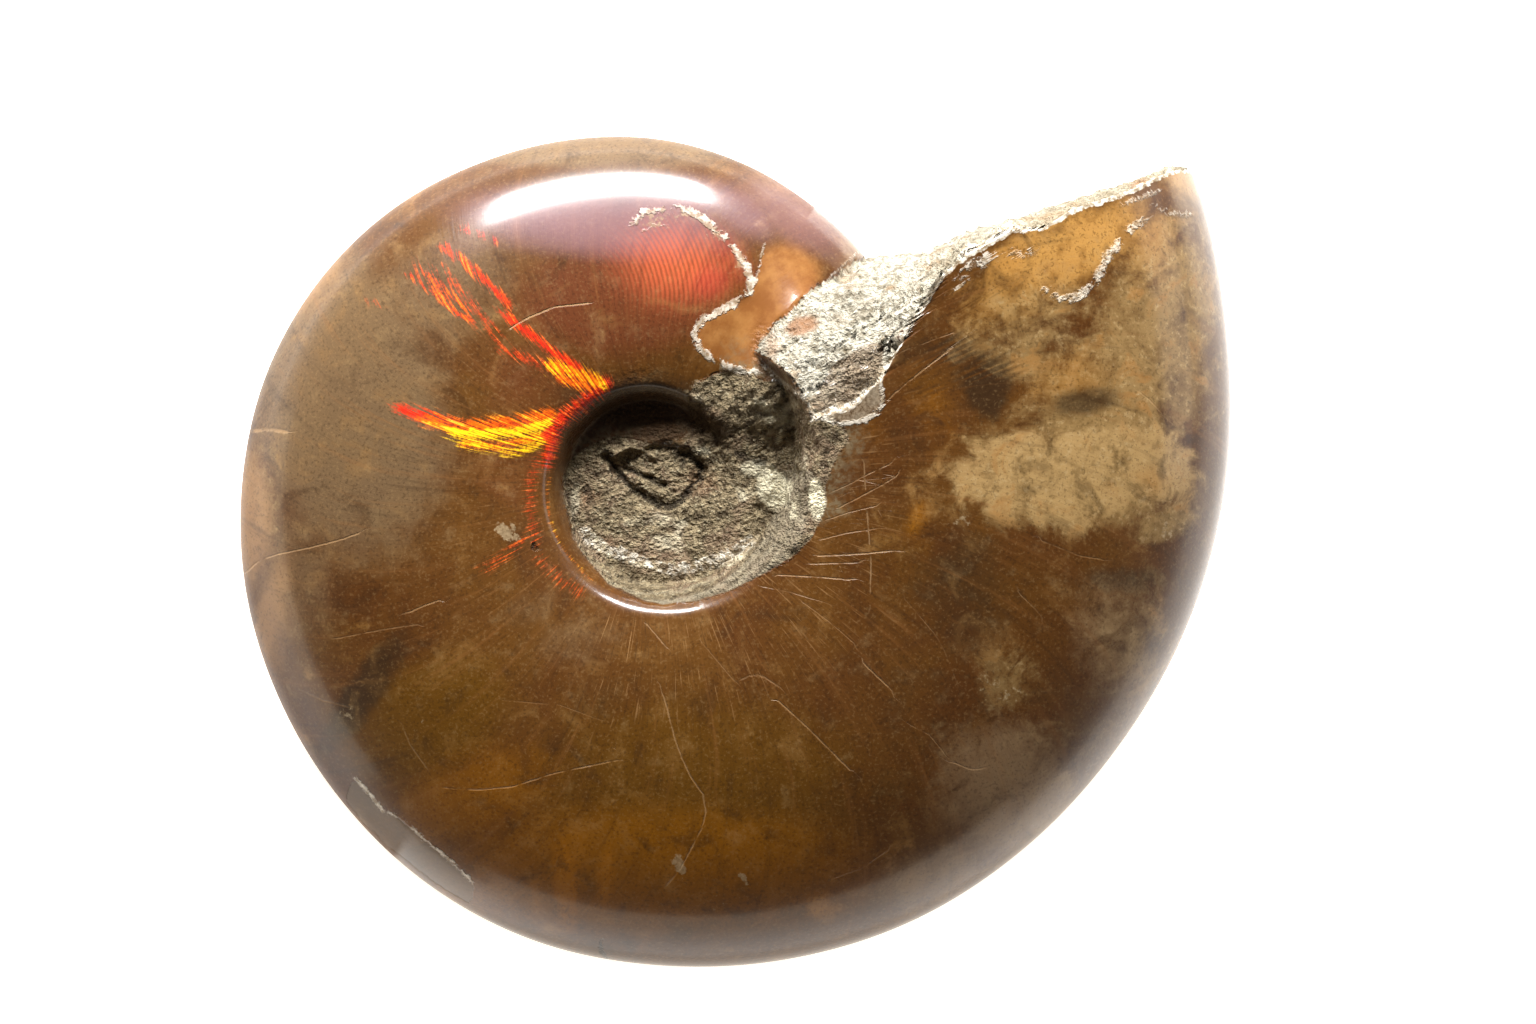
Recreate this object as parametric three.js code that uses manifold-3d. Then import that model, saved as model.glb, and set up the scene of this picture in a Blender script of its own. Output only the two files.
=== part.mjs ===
// Polished ammonite fossil: a closely coiled shell filled with stone, broken off at the mouth, with
// rough rock left in the umbilicus and across the broken mouth. It lies on one flank.
// Millimetres, +Z up. The origin is the centre of the footprint box, on the surface it lies on.
import * as THREE from "three";
import { ParametricGeometry } from "three/addons/geometries/ParametricGeometry.js";
import { mergeVertices } from "three/addons/utils/BufferGeometryUtils.js";
import Module from "manifold-3d";

// ---- driving dimensions -------------------------------------------------------------------
const OUTLINE_WIDTH = 120; // across the coil and the mouth, in the plane of coiling
const WHORL_EXPANSION = 2.12; // radius ratio of one full turn to the turn inside it
const HALF_THICKNESS = 0.27; // half thickness of a turn / its outer radius
const FLANK_CREST = 0.44; // radius of the thickest line of a turn / its outer radius
const UMBILICAL_SHOULDER = 0.285; // radius of the umbilical edge / outer radius
const SHOULDER_DROP = 0.06; // how far the flank sinks from the crest to that edge / half thickness
const FLANK_POWER = 2.1; // 2 is an ellipse; more is fuller
const WALL_EARLY = 0.085; // run of the umbilical wall / outer radius, coil
const WALL_LATE = 0.055; // the same, body chamber
const SHELL_STEP = 0.85; // step down from the shell to the bare rock of the mouth
const MOUTH_SWEEP = 80; // polar angle up to which the body chamber's cone is drawn before it is broken off
const LEAN_X = 0.0635728; // slope of the coiling plane about +X when it lies on its flank
const LEAN_Y = 0.0443919; // slope of the coiling plane about -Y
const WEAR = 0.28; // depth of the flats worn where the flank rests
const COLUMN = 6; // angular step of the mesh, degrees
const COLUMN_AT_MOUTH = 4; // the same where the body chamber meets the coil

// ---- measured outline: [turn angle in degrees, radius from the spiral centre], in survey units
const OUTLINE = [
  [47, 302], [60, 311.5], [75, 325], [90, 338.5], [105, 350], [120, 363], [135, 379], [150, 393.5],
  [165, 406.5], [180, 417], [195, 428.5], [210, 439.5], [225, 452.5], [240, 467], [255, 479],
  [270, 487], [285, 497.5], [300, 509.5], [315, 519.5], [330, 531], [345, 547.5], [360, 566],
  [375, 586], [390, 614], [407, 302 * WHORL_EXPANSION],
];
// Broken edge of the mouth, as x, y from the spiral centre.
const MOUTH_EDGE = [
  [-100, 48], [40, 48], [70, 108], [85, 143], [100, 168], [113, 184], [133, 199], [160, 210],
  [190, 221], [205, 222], [253, 226], [285, 235], [330, 247], [374, 264], [419, 279], [463, 294],
  [485, 304], [506, 311], [532, 314], [640, 328],
];
// Depth of the bare rock face below that edge: x, depth.
const FACE_DEPTH = [
  [-100, 150], [140, 150], [190, 152], [216, 128], [240, 86], [257, 64], [272, 42], [295, 27],
  [340, 15], [375, 24], [400, 15], [470, 14], [508, 9], [640, 8],
];
const SURVEY_WIDTH = 985;
const MM = OUTLINE_WIDTH / SURVEY_WIDTH; // millimetres per survey unit

// ---- outer radius of the shell at any turn angle: a smooth spiral through the outline --------
const LN = OUTLINE.map(([, r]) => Math.log(r));
const SLOPE = OUTLINE.map(([a], i) => {
  const n = OUTLINE.length;
  const d = (j) => (LN[j + 1] - LN[j]) / (OUTLINE[j + 1][0] - OUTLINE[j][0]);
  if (i === 0 || i === n - 1) return 0.5 * (d(0) + d(n - 2));
  const h0 = a - OUTLINE[i - 1][0];
  const h1 = OUTLINE[i + 1][0] - a;
  return (h1 * d(i - 1) + h0 * d(i)) / (h0 + h1);
});

function outerRadius(turn) {
  let a = turn;
  let k = 0;
  while (a < 47) { a += 360; k++; }
  while (a > 407) { a -= 360; k--; }
  let i = 0;
  while (i < OUTLINE.length - 2 && OUTLINE[i + 1][0] < a) i++;
  const h = OUTLINE[i + 1][0] - OUTLINE[i][0];
  const t = (a - OUTLINE[i][0]) / h;
  const v =
    (2 * t ** 3 - 3 * t ** 2 + 1) * LN[i] + (t ** 3 - 2 * t ** 2 + t) * h * SLOPE[i] +
    (3 * t ** 2 - 2 * t ** 3) * LN[i + 1] + (t ** 3 - t ** 2) * h * SLOPE[i + 1];
  return Math.exp(v) / WHORL_EXPANSION ** k;
}

function along(table, x) {
  if (x <= table[0][0]) return table[0][1];
  for (let i = 1; i < table.length; i++)
    if (x <= table[i][0]) {
      const [x0, y0] = table[i - 1];
      const [x1, y1] = table[i];
      return y0 + ((y1 - y0) * (x - x0)) / (x1 - x0);
    }
  return table[table.length - 1][1];
}

function wallRun(turn) {
  const t = THREE.MathUtils.clamp((turn - 320) / 60, 0, 1);
  return WALL_EARLY + (WALL_LATE - WALL_EARLY) * t * t * (3 - 2 * t);
}

// ---- half thickness of one turn at radius r ---------------------------------------------------
function turnHeight(turn, r) {
  const big = outerRadius(turn);
  const half = HALF_THICKNESS * big;
  const rho = r / big;
  if (rho >= 1) return 0;
  if (rho >= FLANK_CREST) {
    const t = (rho - FLANK_CREST) / (1 - FLANK_CREST);
    return half * Math.sqrt(Math.max(0, 1 - t ** FLANK_POWER));
  }
  if (rho >= UMBILICAL_SHOULDER) {
    const c = (FLANK_CREST - rho) / (FLANK_CREST - UMBILICAL_SHOULDER);
    return half * (1 - SHOULDER_DROP * c * c);
  }
  const s = (UMBILICAL_SHOULDER - rho) / wallRun(turn);
  return s < 1 ? (1 - SHOULDER_DROP) * half * Math.sqrt(1 - s * s) : 0;
}

// ---- rock left in the umbilicus: a floor with an oval hollow, and a bank under the mouth ----
function umbilicalRock(x, y) {
  const e = Math.hypot(x / 47, y / 32);
  const s = THREE.MathUtils.clamp((1.12 - e) / 0.24, 0, 1);
  const floor = Math.hypot(x, y) < 125 ? 56 - 12 * s * s * (3 - 2 * s) : 0;
  const bank = 104 * Math.exp(-(((x - 108) / 58) ** 2) - ((y - 60) / 60) ** 2);
  return [floor, bank];
}

// The larger of two heights, with the crease between them filled over a width k.
function blend(a, b, k) {
  const h = Math.max(0, k - Math.abs(a - b)) / k;
  return Math.max(a, b) + (h * h * k) / 4;
}

function coilHeight(turn, r) {
  if (r >= outerRadius(turn)) return 0;
  const a = THREE.MathUtils.degToRad(turn);
  const [floor, bank] = umbilicalRock(r * Math.cos(a), r * Math.sin(a));
  const z = Math.max(turnHeight(turn, r), turnHeight(turn - 360, r));
  return blend(Math.max(z, floor), bank, 30);
}

// ---- a closed sector of the shell: both flanks over a fan of radii, with flat ends ------------
function sector(from, to, rows, height) {
  const turns = [from, from];
  while (turns.at(-1) < to) {
    const polar = turns.at(-1) % 360;
    turns.push(Math.min(to, turns.at(-1) + (polar < MOUTH_SWEEP ? COLUMN_AT_MOUTH : COLUMN)));
  }
  turns.push(to);
  const n = rows.length - 1;
  return new ParametricGeometry((u, v, target) => {
    const i = Math.round(u * (turns.length - 1));
    const j = Math.round(v * 2 * n);
    const end = i === 0 || i === turns.length - 1;
    const side = j <= n ? 1 : -1;
    const row = rows[j <= n ? j : 2 * n - j];
    const turn = turns[i];
    const rho = typeof row === "function" ? row(turn) : row;
    const r = rho * outerRadius(turn);
    const a = THREE.MathUtils.degToRad(turn);
    const z = end ? 0 : side * height(turn, r);
    const sin = turn % 180 === 0 ? 0 : Math.sin(a);
    target.set(r * Math.cos(a), r * sin, z).multiplyScalar(MM);
  }, turns.length - 1, 2 * n);
}

// Rows of the mesh from the centre outwards, as radius / outer radius. On the umbilical wall they
// follow the run of the wall, from its foot to the shoulder.
const foot = (s) => (turn) => UMBILICAL_SHOULDER - s * wallRun(turn);
const FLANK_ROWS = [
  UMBILICAL_SHOULDER, 0.33, 0.385, FLANK_CREST, 0.52, 0.6, 0.68, 0.75, 0.81, 0.86, 0.9, 0.935, 0.963, 0.984,
  0.996, 1,
];
const COIL_ROWS = [0, 0.035, 0.07, 0.105, 0.14, 0.172, foot(0.95), foot(0.86), foot(0.72), foot(0.5), foot(0.24), ...FLANK_ROWS];
const BODY_ROWS = [foot(1), foot(0.97), foot(0.88), foot(0.72), foot(0.5), foot(0.24), ...FLANK_ROWS];

// ---- everything that is left of the body chamber behind the broken mouth ----------------------
const FACE_STATIONS = [
  40, 70, 85, 100, 113, 133, 150, 160, 175, 190, 205, 216, 228, 240, 257, 272, 285, 295, 312, 330, 340, 355,
  375, 388, 400, 419, 441, 463, 485, 508, 532, 560, 600,
];
const FACE_ROWS = [0, 0.02, 0.06, 0.13, 0.22, 0.34, 0.48, 0.64, 0.82, 1];
const CLEAR = 260; // beyond the flank, in survey units
const FAR = -640; // below the shell, in survey units

function behindMouth() {
  const xs = [FACE_STATIONS[0], ...FACE_STATIONS, FACE_STATIONS[FACE_STATIONS.length - 1]];
  const n = FACE_ROWS.length + 2; // the face, the step up to clear the shell, the far end
  return new ParametricGeometry((u, v, target) => {
    const i = Math.round(u * (xs.length - 1));
    const j = Math.round(v * 2 * n);
    const end = i === 0 || i === xs.length - 1;
    const side = j <= n ? 1 : -1;
    const row = j <= n ? j : 2 * n - j;
    const x = xs[i];
    const edge = along(MOUTH_EDGE, x);
    const depth = along(FACE_DEPTH, x);
    const t = row < FACE_ROWS.length ? FACE_ROWS[row] : 1;
    const y = row > FACE_ROWS.length ? FAR : edge - t * depth;
    let z = row === n ? 0 : CLEAR;
    if (row < FACE_ROWS.length) {
      const a = THREE.MathUtils.radToDeg(Math.atan2(y, x));
      const shoulder = UMBILICAL_SHOULDER * outerRadius(a + 360);
      const shell = turnHeight(a + 360, Math.max(shoulder, Math.hypot(x, y))) - SHELL_STEP / MM;
      z = shell * (1 - (1 - t) ** 1.8) ** 0.62;
    }
    target.set(x, y, end ? 0 : side * z).multiplyScalar(MM);
  }, xs.length - 1, 2 * n);
}

// ---- joining and cutting ------------------------------------------------------------------------
const wasm = await Module();
wasm.setup();

function solid(geometry) {
  const g = geometry.index ? geometry.toNonIndexed() : geometry.clone();
  g.deleteAttribute("normal");
  g.deleteAttribute("uv");
  const merged = mergeVertices(g, 1e-4);
  const index = merged.index.array;
  const kept = [];
  for (let i = 0; i < index.length; i += 3) {
    const [a, b, c] = [index[i], index[i + 1], index[i + 2]];
    if (a !== b && b !== c && c !== a) kept.push(a, b, c);
  }
  const make = (triVerts) =>
    new wasm.Manifold(
      new wasm.Mesh({
        numProp: 3,
        vertProperties: new Float32Array(merged.attributes.position.array),
        triVerts: new Uint32Array(triVerts),
      }),
    );
  const out = make(kept);
  if (out.volume() > 0) return out;
  for (let i = 0; i < kept.length; i += 3) [kept[i + 1], kept[i + 2]] = [kept[i + 2], kept[i + 1]];
  return make(kept);
}

const coil = solid(sector(0, 180, COIL_ROWS, coilHeight)).add(solid(sector(180, 360, COIL_ROWS, coilHeight)));
const bodyChamber = solid(sector(360, 360 + MOUTH_SWEEP, BODY_ROWS, turnHeight)).intersect(solid(behindMouth()));
const shell = coil.add(bodyChamber);

function toGeometry(manifold) {
  const mesh = manifold.getMesh();
  const positions = new Float32Array((mesh.vertProperties.length / mesh.numProp) * 3);
  for (let i = 0; i < positions.length / 3; i++)
    for (let c = 0; c < 3; c++) positions[3 * i + c] = mesh.vertProperties[mesh.numProp * i + c];
  const g = new THREE.BufferGeometry();
  g.setAttribute("position", new THREE.BufferAttribute(positions, 3));
  g.setIndex(new THREE.BufferAttribute(new Uint32Array(mesh.triVerts), 1));
  return g;
}

// ---- lay it on its flank: lean the coiling plane, then wear flats where it touches --------------
const down = new THREE.Vector3(-LEAN_Y, -LEAN_X, -1).normalize();
const lean = new THREE.Quaternion().setFromUnitVectors(down, new THREE.Vector3(0, 0, -1));
const laid = toGeometry(shell).applyQuaternion(lean);
laid.computeBoundingBox();
const lowest = laid.boundingBox.min.z;
const ground = new THREE.BoxGeometry(400, 400, 40).translate(0, 0, lowest + WEAR - 20);
const worn = toGeometry(solid(laid).subtract(solid(ground)));
worn.computeBoundingBox();
const box = worn.boundingBox;
worn.translate(-(box.min.x + box.max.x) / 2, -(box.min.y + box.max.y) / 2, -box.min.z);
worn.computeVertexNormals();

const fossil = new THREE.MeshStandardMaterial({ color: 0x6b4a32, roughness: 0.22, metalness: 0 });
const ammonite = new THREE.Mesh(worn, fossil);
ammonite.name = "ammonite";

const root = new THREE.Group();
root.name = "ammonite_fossil";
root.add(ammonite);

export default root;
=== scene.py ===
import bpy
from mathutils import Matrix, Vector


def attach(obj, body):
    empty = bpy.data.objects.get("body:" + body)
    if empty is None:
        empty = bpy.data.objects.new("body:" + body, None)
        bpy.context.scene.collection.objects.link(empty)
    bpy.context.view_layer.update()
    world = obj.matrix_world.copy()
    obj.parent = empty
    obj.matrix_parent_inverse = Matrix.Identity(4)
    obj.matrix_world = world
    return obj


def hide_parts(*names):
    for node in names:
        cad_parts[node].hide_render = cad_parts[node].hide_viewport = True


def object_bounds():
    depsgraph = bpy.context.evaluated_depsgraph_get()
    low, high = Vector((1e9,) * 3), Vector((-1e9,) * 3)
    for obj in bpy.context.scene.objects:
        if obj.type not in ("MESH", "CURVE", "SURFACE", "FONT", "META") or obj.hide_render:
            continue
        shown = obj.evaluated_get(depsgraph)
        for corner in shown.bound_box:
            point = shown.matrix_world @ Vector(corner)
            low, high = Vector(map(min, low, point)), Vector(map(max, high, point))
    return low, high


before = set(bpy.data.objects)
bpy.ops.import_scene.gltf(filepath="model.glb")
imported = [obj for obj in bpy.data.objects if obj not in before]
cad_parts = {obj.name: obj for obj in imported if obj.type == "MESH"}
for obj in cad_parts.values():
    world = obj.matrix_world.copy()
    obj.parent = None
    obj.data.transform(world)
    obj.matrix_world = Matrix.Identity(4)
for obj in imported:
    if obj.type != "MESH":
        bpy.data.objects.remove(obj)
CAD_LO, CAD_HI = [list(map(float, c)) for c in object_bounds()]

import math

import bpy
import numpy as np
from mathutils import Matrix, Quaternion, Vector

# ------------------------------------------------------------------------------------------------
# Sizes. One survey unit (u) is 1/985 of the fossil's width. Its own frame has the spiral's centre at
# the origin, x across, y up the flank, z out of the upper flank.
# ------------------------------------------------------------------------------------------------
U = 0.120 / 985.0
LEAN = Quaternion((0.9992515740, 0.0317150129, -0.0221461015, 0.0))
OFFSET = Vector((-0.00919971268, 0.00893348535, 0.0175269489))
TO_WORLD = Matrix.Translation(OFFSET) @ LEAN.to_matrix().to_4x4()
CENTRE = (660.0, 478.0)          # the spiral's centre on the flank plan, plan x right and y down
PLAN_MID = (768.0, 512.0)        # the middle of the plan
VIEW_U = 3627.0                  # distance from which the plan's marks were laid out

EXPANSION = 2.12
HALF_THICK = 0.27
CREST = 0.44
SHOULDER = 0.285
DROP = 0.06
POWER = 2.1
SHELL_STEP = 7.0

TURN = np.array([47, 60, 75, 90, 105, 120, 135, 150, 165, 180, 195, 210, 225, 240, 255, 270, 285, 300, 315,
                 330, 345, 360, 375, 390, 407], float)
RADIUS = np.array([302, 311.5, 325, 338.5, 350, 363, 379, 393.5, 406.5, 417, 428.5, 439.5, 452.5, 467, 479,
                   487, 497.5, 509.5, 519.5, 531, 547.5, 566, 586, 614, 302 * EXPANSION], float)
MOUTH_EDGE = np.array([
    [-100, 48], [40, 48], [70, 108], [85, 143], [100, 168], [113, 184], [133, 199], [160, 210],
    [190, 221], [205, 222], [253, 226], [285, 235], [330, 247], [374, 264], [419, 279], [463, 294],
    [485, 304], [506, 311], [532, 314], [640, 328]], float)
FACE_DEPTH = np.array([
    [-100, 150], [140, 150], [190, 152], [216, 128], [240, 86], [257, 64], [272, 42], [295, 27],
    [340, 15], [375, 24], [400, 15], [470, 14], [508, 9], [640, 8]], float)

LN = np.log(RADIUS)
_h = np.diff(TURN)
_d = np.diff(LN) / _h
SLOPE = np.empty_like(LN)
SLOPE[1:-1] = (_h[1:] * _d[:-1] + _h[:-1] * _d[1:]) / (_h[:-1] + _h[1:])
SLOPE[0] = SLOPE[-1] = 0.5 * (_d[0] + _d[-1])


def sstep(e0, e1, x):
    t = np.clip((x - e0) / (e1 - e0), 0.0, 1.0)
    return t * t * (3.0 - 2.0 * t)


def outer_radius(turn):
    a = np.array(turn, float)
    k = np.zeros_like(a)
    for _ in range(7):
        low = a < 47.0
        a = np.where(low, a + 360.0, a)
        k = np.where(low, k + 1, k)
    for _ in range(2):
        high = a > 407.0
        a = np.where(high, a - 360.0, a)
        k = np.where(high, k - 1, k)
    i = np.clip(np.searchsorted(TURN, a, side="right") - 1, 0, len(TURN) - 2)
    h = TURN[i + 1] - TURN[i]
    t = (a - TURN[i]) / h
    v = ((2 * t**3 - 3 * t**2 + 1) * LN[i] + (t**3 - 2 * t**2 + t) * h * SLOPE[i]
         + (3 * t**2 - 2 * t**3) * LN[i + 1] + (t**3 - t**2) * h * SLOPE[i + 1])
    return np.exp(v) / EXPANSION**k


def wall_run(turn):
    return 0.085 + (0.055 - 0.085) * sstep(320.0, 380.0, turn)


def turn_height(turn, r, plateau=False):
    big = outer_radius(turn)
    half = HALF_THICK * big
    rho = r / big
    t = np.clip((rho - CREST) / (1 - CREST), 0, 1)
    flank = half * np.sqrt(np.clip(1 - t**POWER, 0, 1))
    c = np.clip((CREST - rho) / (CREST - SHOULDER), 0, 1)
    z = np.where(rho >= CREST, flank, half * (1 - DROP * c * c))
    if not plateau:
        s = np.clip((SHOULDER - rho) / wall_run(turn), 0, 1)
        z = np.where(rho < SHOULDER, np.where(s < 1, (1 - DROP) * half * np.sqrt(1 - s * s), 0), z)
    return np.where(rho < 1, z, 0)


def blend(a, b, k):
    h = np.maximum(0.0, k - np.abs(a - b)) / k
    return np.maximum(a, b) + h * h * k / 4


def ridge(x, y, pts, width):
    """1 on a polyline of plan points, falling to 0 at that distance."""
    px = np.array(pts, float)
    qx, qy = px[:, 0] - CENTRE[0], CENTRE[1] - px[:, 1]
    best = np.full(np.shape(x), 1e9)
    for i in range(len(qx) - 1):
        dx, dy = qx[i + 1] - qx[i], qy[i + 1] - qy[i]
        t = np.clip(((x - qx[i]) * dx + (y - qy[i]) * dy) / (dx * dx + dy * dy), 0, 1)
        best = np.minimum(best, np.hypot(x - qx[i] - t * dx, y - qy[i] - t * dy))
    return 1.0 - sstep(0.0, width, best)


RING = [(608, 459), (616, 470), (625, 481), (636, 491), (647, 498), (659, 504), (671, 507), (682, 500),
        (691, 494), (699, 484), (704, 474), (700, 464), (688, 454)]
RING_IN = [(626, 470), (636, 473), (646, 477), (655, 482), (665, 487)]
CRESTS = [(618, 455), (632, 450), (645, 452), (656, 458)]


ROCK_PLAN = [(575, 458), (597, 443), (620, 436), (650, 443), (680, 448), (694, 436), (690, 418), (688, 400),
             (697, 386), (715, 376), (742, 372), (764, 384), (783, 383), (800, 398), (813, 415), (838, 428),
             (846, 442), (834, 460), (824, 484), (822, 512), (810, 538), (790, 558), (765, 572), (735, 588),
             (700, 599), (665, 601), (640, 596), (612, 581), (592, 560), (577, 535), (568, 505), (566, 478)]


def inside_plan(x, y, pts):
    """Signed distance in from the edge of a closed outline of plan points."""
    p = np.array(pts, float)
    qx, qy = p[:, 0] - CENTRE[0], CENTRE[1] - p[:, 1]
    best = np.full(np.shape(x), 1e9)
    odd = np.zeros(np.shape(x), bool)
    n = len(qx)
    for i in range(n):
        x0, y0, x1, y1 = qx[i], qy[i], qx[(i + 1) % n], qy[(i + 1) % n]
        dx, dy = x1 - x0, y1 - y0
        t = np.clip(((x - x0) * dx + (y - y0) * dy) / (dx * dx + dy * dy + 1e-9), 0, 1)
        best = np.minimum(best, np.hypot(x - x0 - t * dx, y - y0 - t * dy))
        cross = ((y0 > y) != (y1 > y)) & (x < x0 + (y - y0) * dx / (dy if dy else 1e-9))
        odd ^= cross
    return np.where(odd, best, -best)


def umbilical_floor(x, y):
    r = np.hypot(x, y)
    e = np.hypot(x / 47, y / 32)
    floor = np.where(r < 128, 56 - 9 * (1 - sstep(0.86, 1.14, e)), 0)
    floor = floor + np.where(r < 120, 4.0 * np.exp(-((r - 78) / 18) ** 2), 0)
    near = r < 80
    if near.any():
        xs, ys = x[near], y[near]
        cut = -13.0 * ridge(xs, ys, RING, 6.5) - 7.0 * ridge(xs, ys, RING_IN, 5.0)
        cut += 7.0 * ridge(xs, ys, CRESTS, 8.0)
        floor[near] += cut
    return floor


def rock_bank(x, y):
    r = np.hypot(x, y)
    th = np.degrees(np.arctan2(y, x))
    fan = np.exp(-(((th - 36) / 25) ** 2))
    return 50 + 52 * sstep(48, 150, r) * fan


def surface(x, y, theta):
    """Height over the coil's plane, with what each point belongs to."""
    r = np.hypot(x, y) + 1e-9
    coil = np.maximum(turn_height(theta, r), turn_height(theta - 360, r))
    inside = r < outer_radius(theta)
    floor = umbilical_floor(x, y)
    bank = rock_bank(x, y)
    base = np.maximum(coil, floor)
    near_bank = sstep(250, 198, r)
    coil2 = np.where(inside, base + (blend(base, bank, 18.0) - base) * near_bank, 0)
    rock = np.zeros(np.shape(x))
    near = r < 210
    rock[near] = sstep(-3, 5, inside_plan(x[near], y[near], ROCK_PLAN))
    near_mouth = theta < 80
    body = np.where(near_mouth, turn_height(theta + 360, r), 0)
    plate = np.where(near_mouth, turn_height(theta + 360, r, True), 0)
    edge = np.interp(x, MOUTH_EDGE[:, 0], MOUTH_EDGE[:, 1])
    depth = np.interp(x, FACE_DEPTH[:, 0], FACE_DEPTH[:, 1])
    t = (edge - y) / depth
    tc = np.clip(t, 0, 1)
    face = (plate - SHELL_STEP) * (1 - (1 - tc) ** 1.8) ** 0.62
    face = np.where(t >= 1, 1e3, np.where(t <= 0, 0, face))
    chamber = np.minimum(body, face)
    z = np.maximum(coil2, chamber)
    on_body = (chamber > coil2) | ((chamber >= coil2) & near_mouth & (r > outer_radius(theta) * 1.004))
    on_face = on_body & (face < body) & near_mouth
    rock = np.where(on_face, 1.0, rock)
    return dict(z=z, on_body=on_body, on_face=on_face, rock=rock, t=t, edge=edge, depth=depth, wall=(r / outer_radius(np.where(on_body, theta + 360, theta))))


# ------------------------------------------------------------------------------------------------
# Noise
# ------------------------------------------------------------------------------------------------
def _hash(ix, iy, iz, seed):
    h = (ix.astype(np.uint32) * np.uint32(374761393) + iy.astype(np.uint32) * np.uint32(668265263)
         + iz.astype(np.uint32) * np.uint32(2147483647 ^ 0x5bd1e995) + np.uint32(seed * 1013904223 & 0xffffffff))
    h = (h ^ (h >> np.uint32(13))) * np.uint32(1274126177)
    h = (h ^ (h >> np.uint32(16))) * np.uint32(2246822519)
    return (h ^ (h >> np.uint32(15))).astype(np.float64) / 4294967295.0


def noise(p, scale, seed=0):
    """Smooth value noise, -1 to 1, one lump per scale units."""
    q = p / scale + 1000.0
    i = np.floor(q).astype(np.int64)
    f = q - i
    w = f * f * f * (f * (f * 6 - 15) + 10)
    out = 0.0
    for dx in (0, 1):
        for dy in (0, 1):
            for dz in (0, 1):
                c = _hash(i[:, 0] + dx, i[:, 1] + dy, i[:, 2] + dz, seed)
                out = out + c * (w[:, 0] if dx else 1 - w[:, 0]) * (w[:, 1] if dy else 1 - w[:, 1]) * (w[:, 2] if dz else 1 - w[:, 2])
    return out * 2 - 1


def fbm(p, scale, octaves, seed=0):
    out, amp, tot = 0.0, 1.0, 0.0
    for k in range(octaves):
        out = out + amp * noise(p, scale / 2**k, seed + 17 * k)
        tot += amp
        amp *= 0.55
    return out / tot


# ------------------------------------------------------------------------------------------------
# The mesh: columns round the spiral's centre, rows from the centre to the rim, on both flanks
# ------------------------------------------------------------------------------------------------
def columns():
    spans = [(0, 20, 0.9), (20, 29, 0.42), (29, 38, 0.06), (38, 48, 0.14), (48, 62, 0.4), (62, 90, 0.8), (90, 360, 1.08)]
    out = []
    for a, b, s in spans:
        n = int(round((b - a) / s))
        out.extend(a + (b - a) * i / n for i in range(n))
    return np.array(out)


THETA = columns()
NC = len(THETA)


def rim_radius():
    lim = np.where(THETA < 47, outer_radius(THETA + 360), outer_radius(THETA))
    out = lim.copy()
    for i in np.where((THETA > 25) & (THETA < 52))[0]:
        a = math.radians(THETA[i])
        rr = np.arange(270.0, lim[i], 0.1) if THETA[i] < 47 else np.array([lim[i] - 0.01])
        z = surface(rr * math.cos(a), rr * math.sin(a), np.full(len(rr), THETA[i]))["z"]
        on = np.where(z > 0.5)[0]
        out[i] = rr[on[-1]]
        gap = np.where(z[: on[-1]] <= 0.5)[0]
        if len(gap):
            out[i] = min(out[i], rr[gap[0]])
    return out


RIM = rim_radius()


def grid(rows, detail):
    """Radii of the rows in each column, closer where the profile is steep or rough."""
    fine = np.linspace(0, 1, 1400)
    rad = RIM[None, :] * fine[:, None]
    a = np.radians(THETA)[None, :]
    x, y = rad * np.cos(a), rad * np.sin(a)
    th = np.broadcast_to(THETA[None, :], rad.shape)
    s = surface(x, y, th)
    z = s["z"]
    px, py = CENTRE[0] + x, CENTRE[1] - y
    w = 0.35 + np.where(rad < 190, 1.0, 0) * detail + s["rock"] * 1.2 * detail
    w += detail * 1.3 * np.exp(-(((s["t"] - 1) * s["depth"]) / 12) ** 2) * (s["on_body"] | (s["t"] > 0)) * (th < 70) * (s["t"] > -1)
    w += detail * 0.7 * ((px > 690) & (px < 880) & (py > 200) & (py < 420))
    w += detail * 0.5 * ((px > 1020) & (px < 1210) & (py > 160) & (py < 320))
    ds = np.sqrt(np.diff(rad, axis=0) ** 2 + np.minimum(np.abs(np.diff(z, axis=0)), 6.0) ** 2 * 0.8)
    edge_rows = np.clip(1 - np.abs(1 - fine[1:, None]) / 0.05, 0, 1) * 1.5
    cum = np.concatenate([np.zeros((1, NC)), np.cumsum(ds * (w[1:] + edge_rows * 0.6), axis=0)])
    # neighbouring columns keep similar spacing
    cum = cum / cum[-1]
    out = np.empty((rows + 1, NC))
    for j in range(NC):
        out[:, j] = np.interp(np.linspace(0, 1, rows + 1), cum[:, j], rad[:, j])
    frac = out / RIM[None, :]
    gap = np.abs(THETA[:, None] - THETA[None, :])
    gap = np.minimum(gap, 360 - gap)
    width = np.gradient(THETA)
    kern = np.exp(-((gap / 1.2) ** 2)) * width[None, :]
    kern /= kern.sum(1, keepdims=True)
    return (frac @ kern.T) * RIM[None, :]


def build_side(side, rows, detail):
    rad = grid(rows, detail)
    a = np.radians(THETA)[None, :]
    x, y = rad * np.cos(a), rad * np.sin(a)
    th = np.broadcast_to(THETA[None, :], rad.shape)
    s = surface(x, y, th)
    z = s["z"].copy()
    z[-1] = 0.0
    z[0] = z[0].mean()
    return dict(x=x, y=y, z=side * z, s=s, th=th, rad=rad)


FRONT = build_side(1, 104, 1.0)
BACK = build_side(-1, 52, 0.6)


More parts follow.
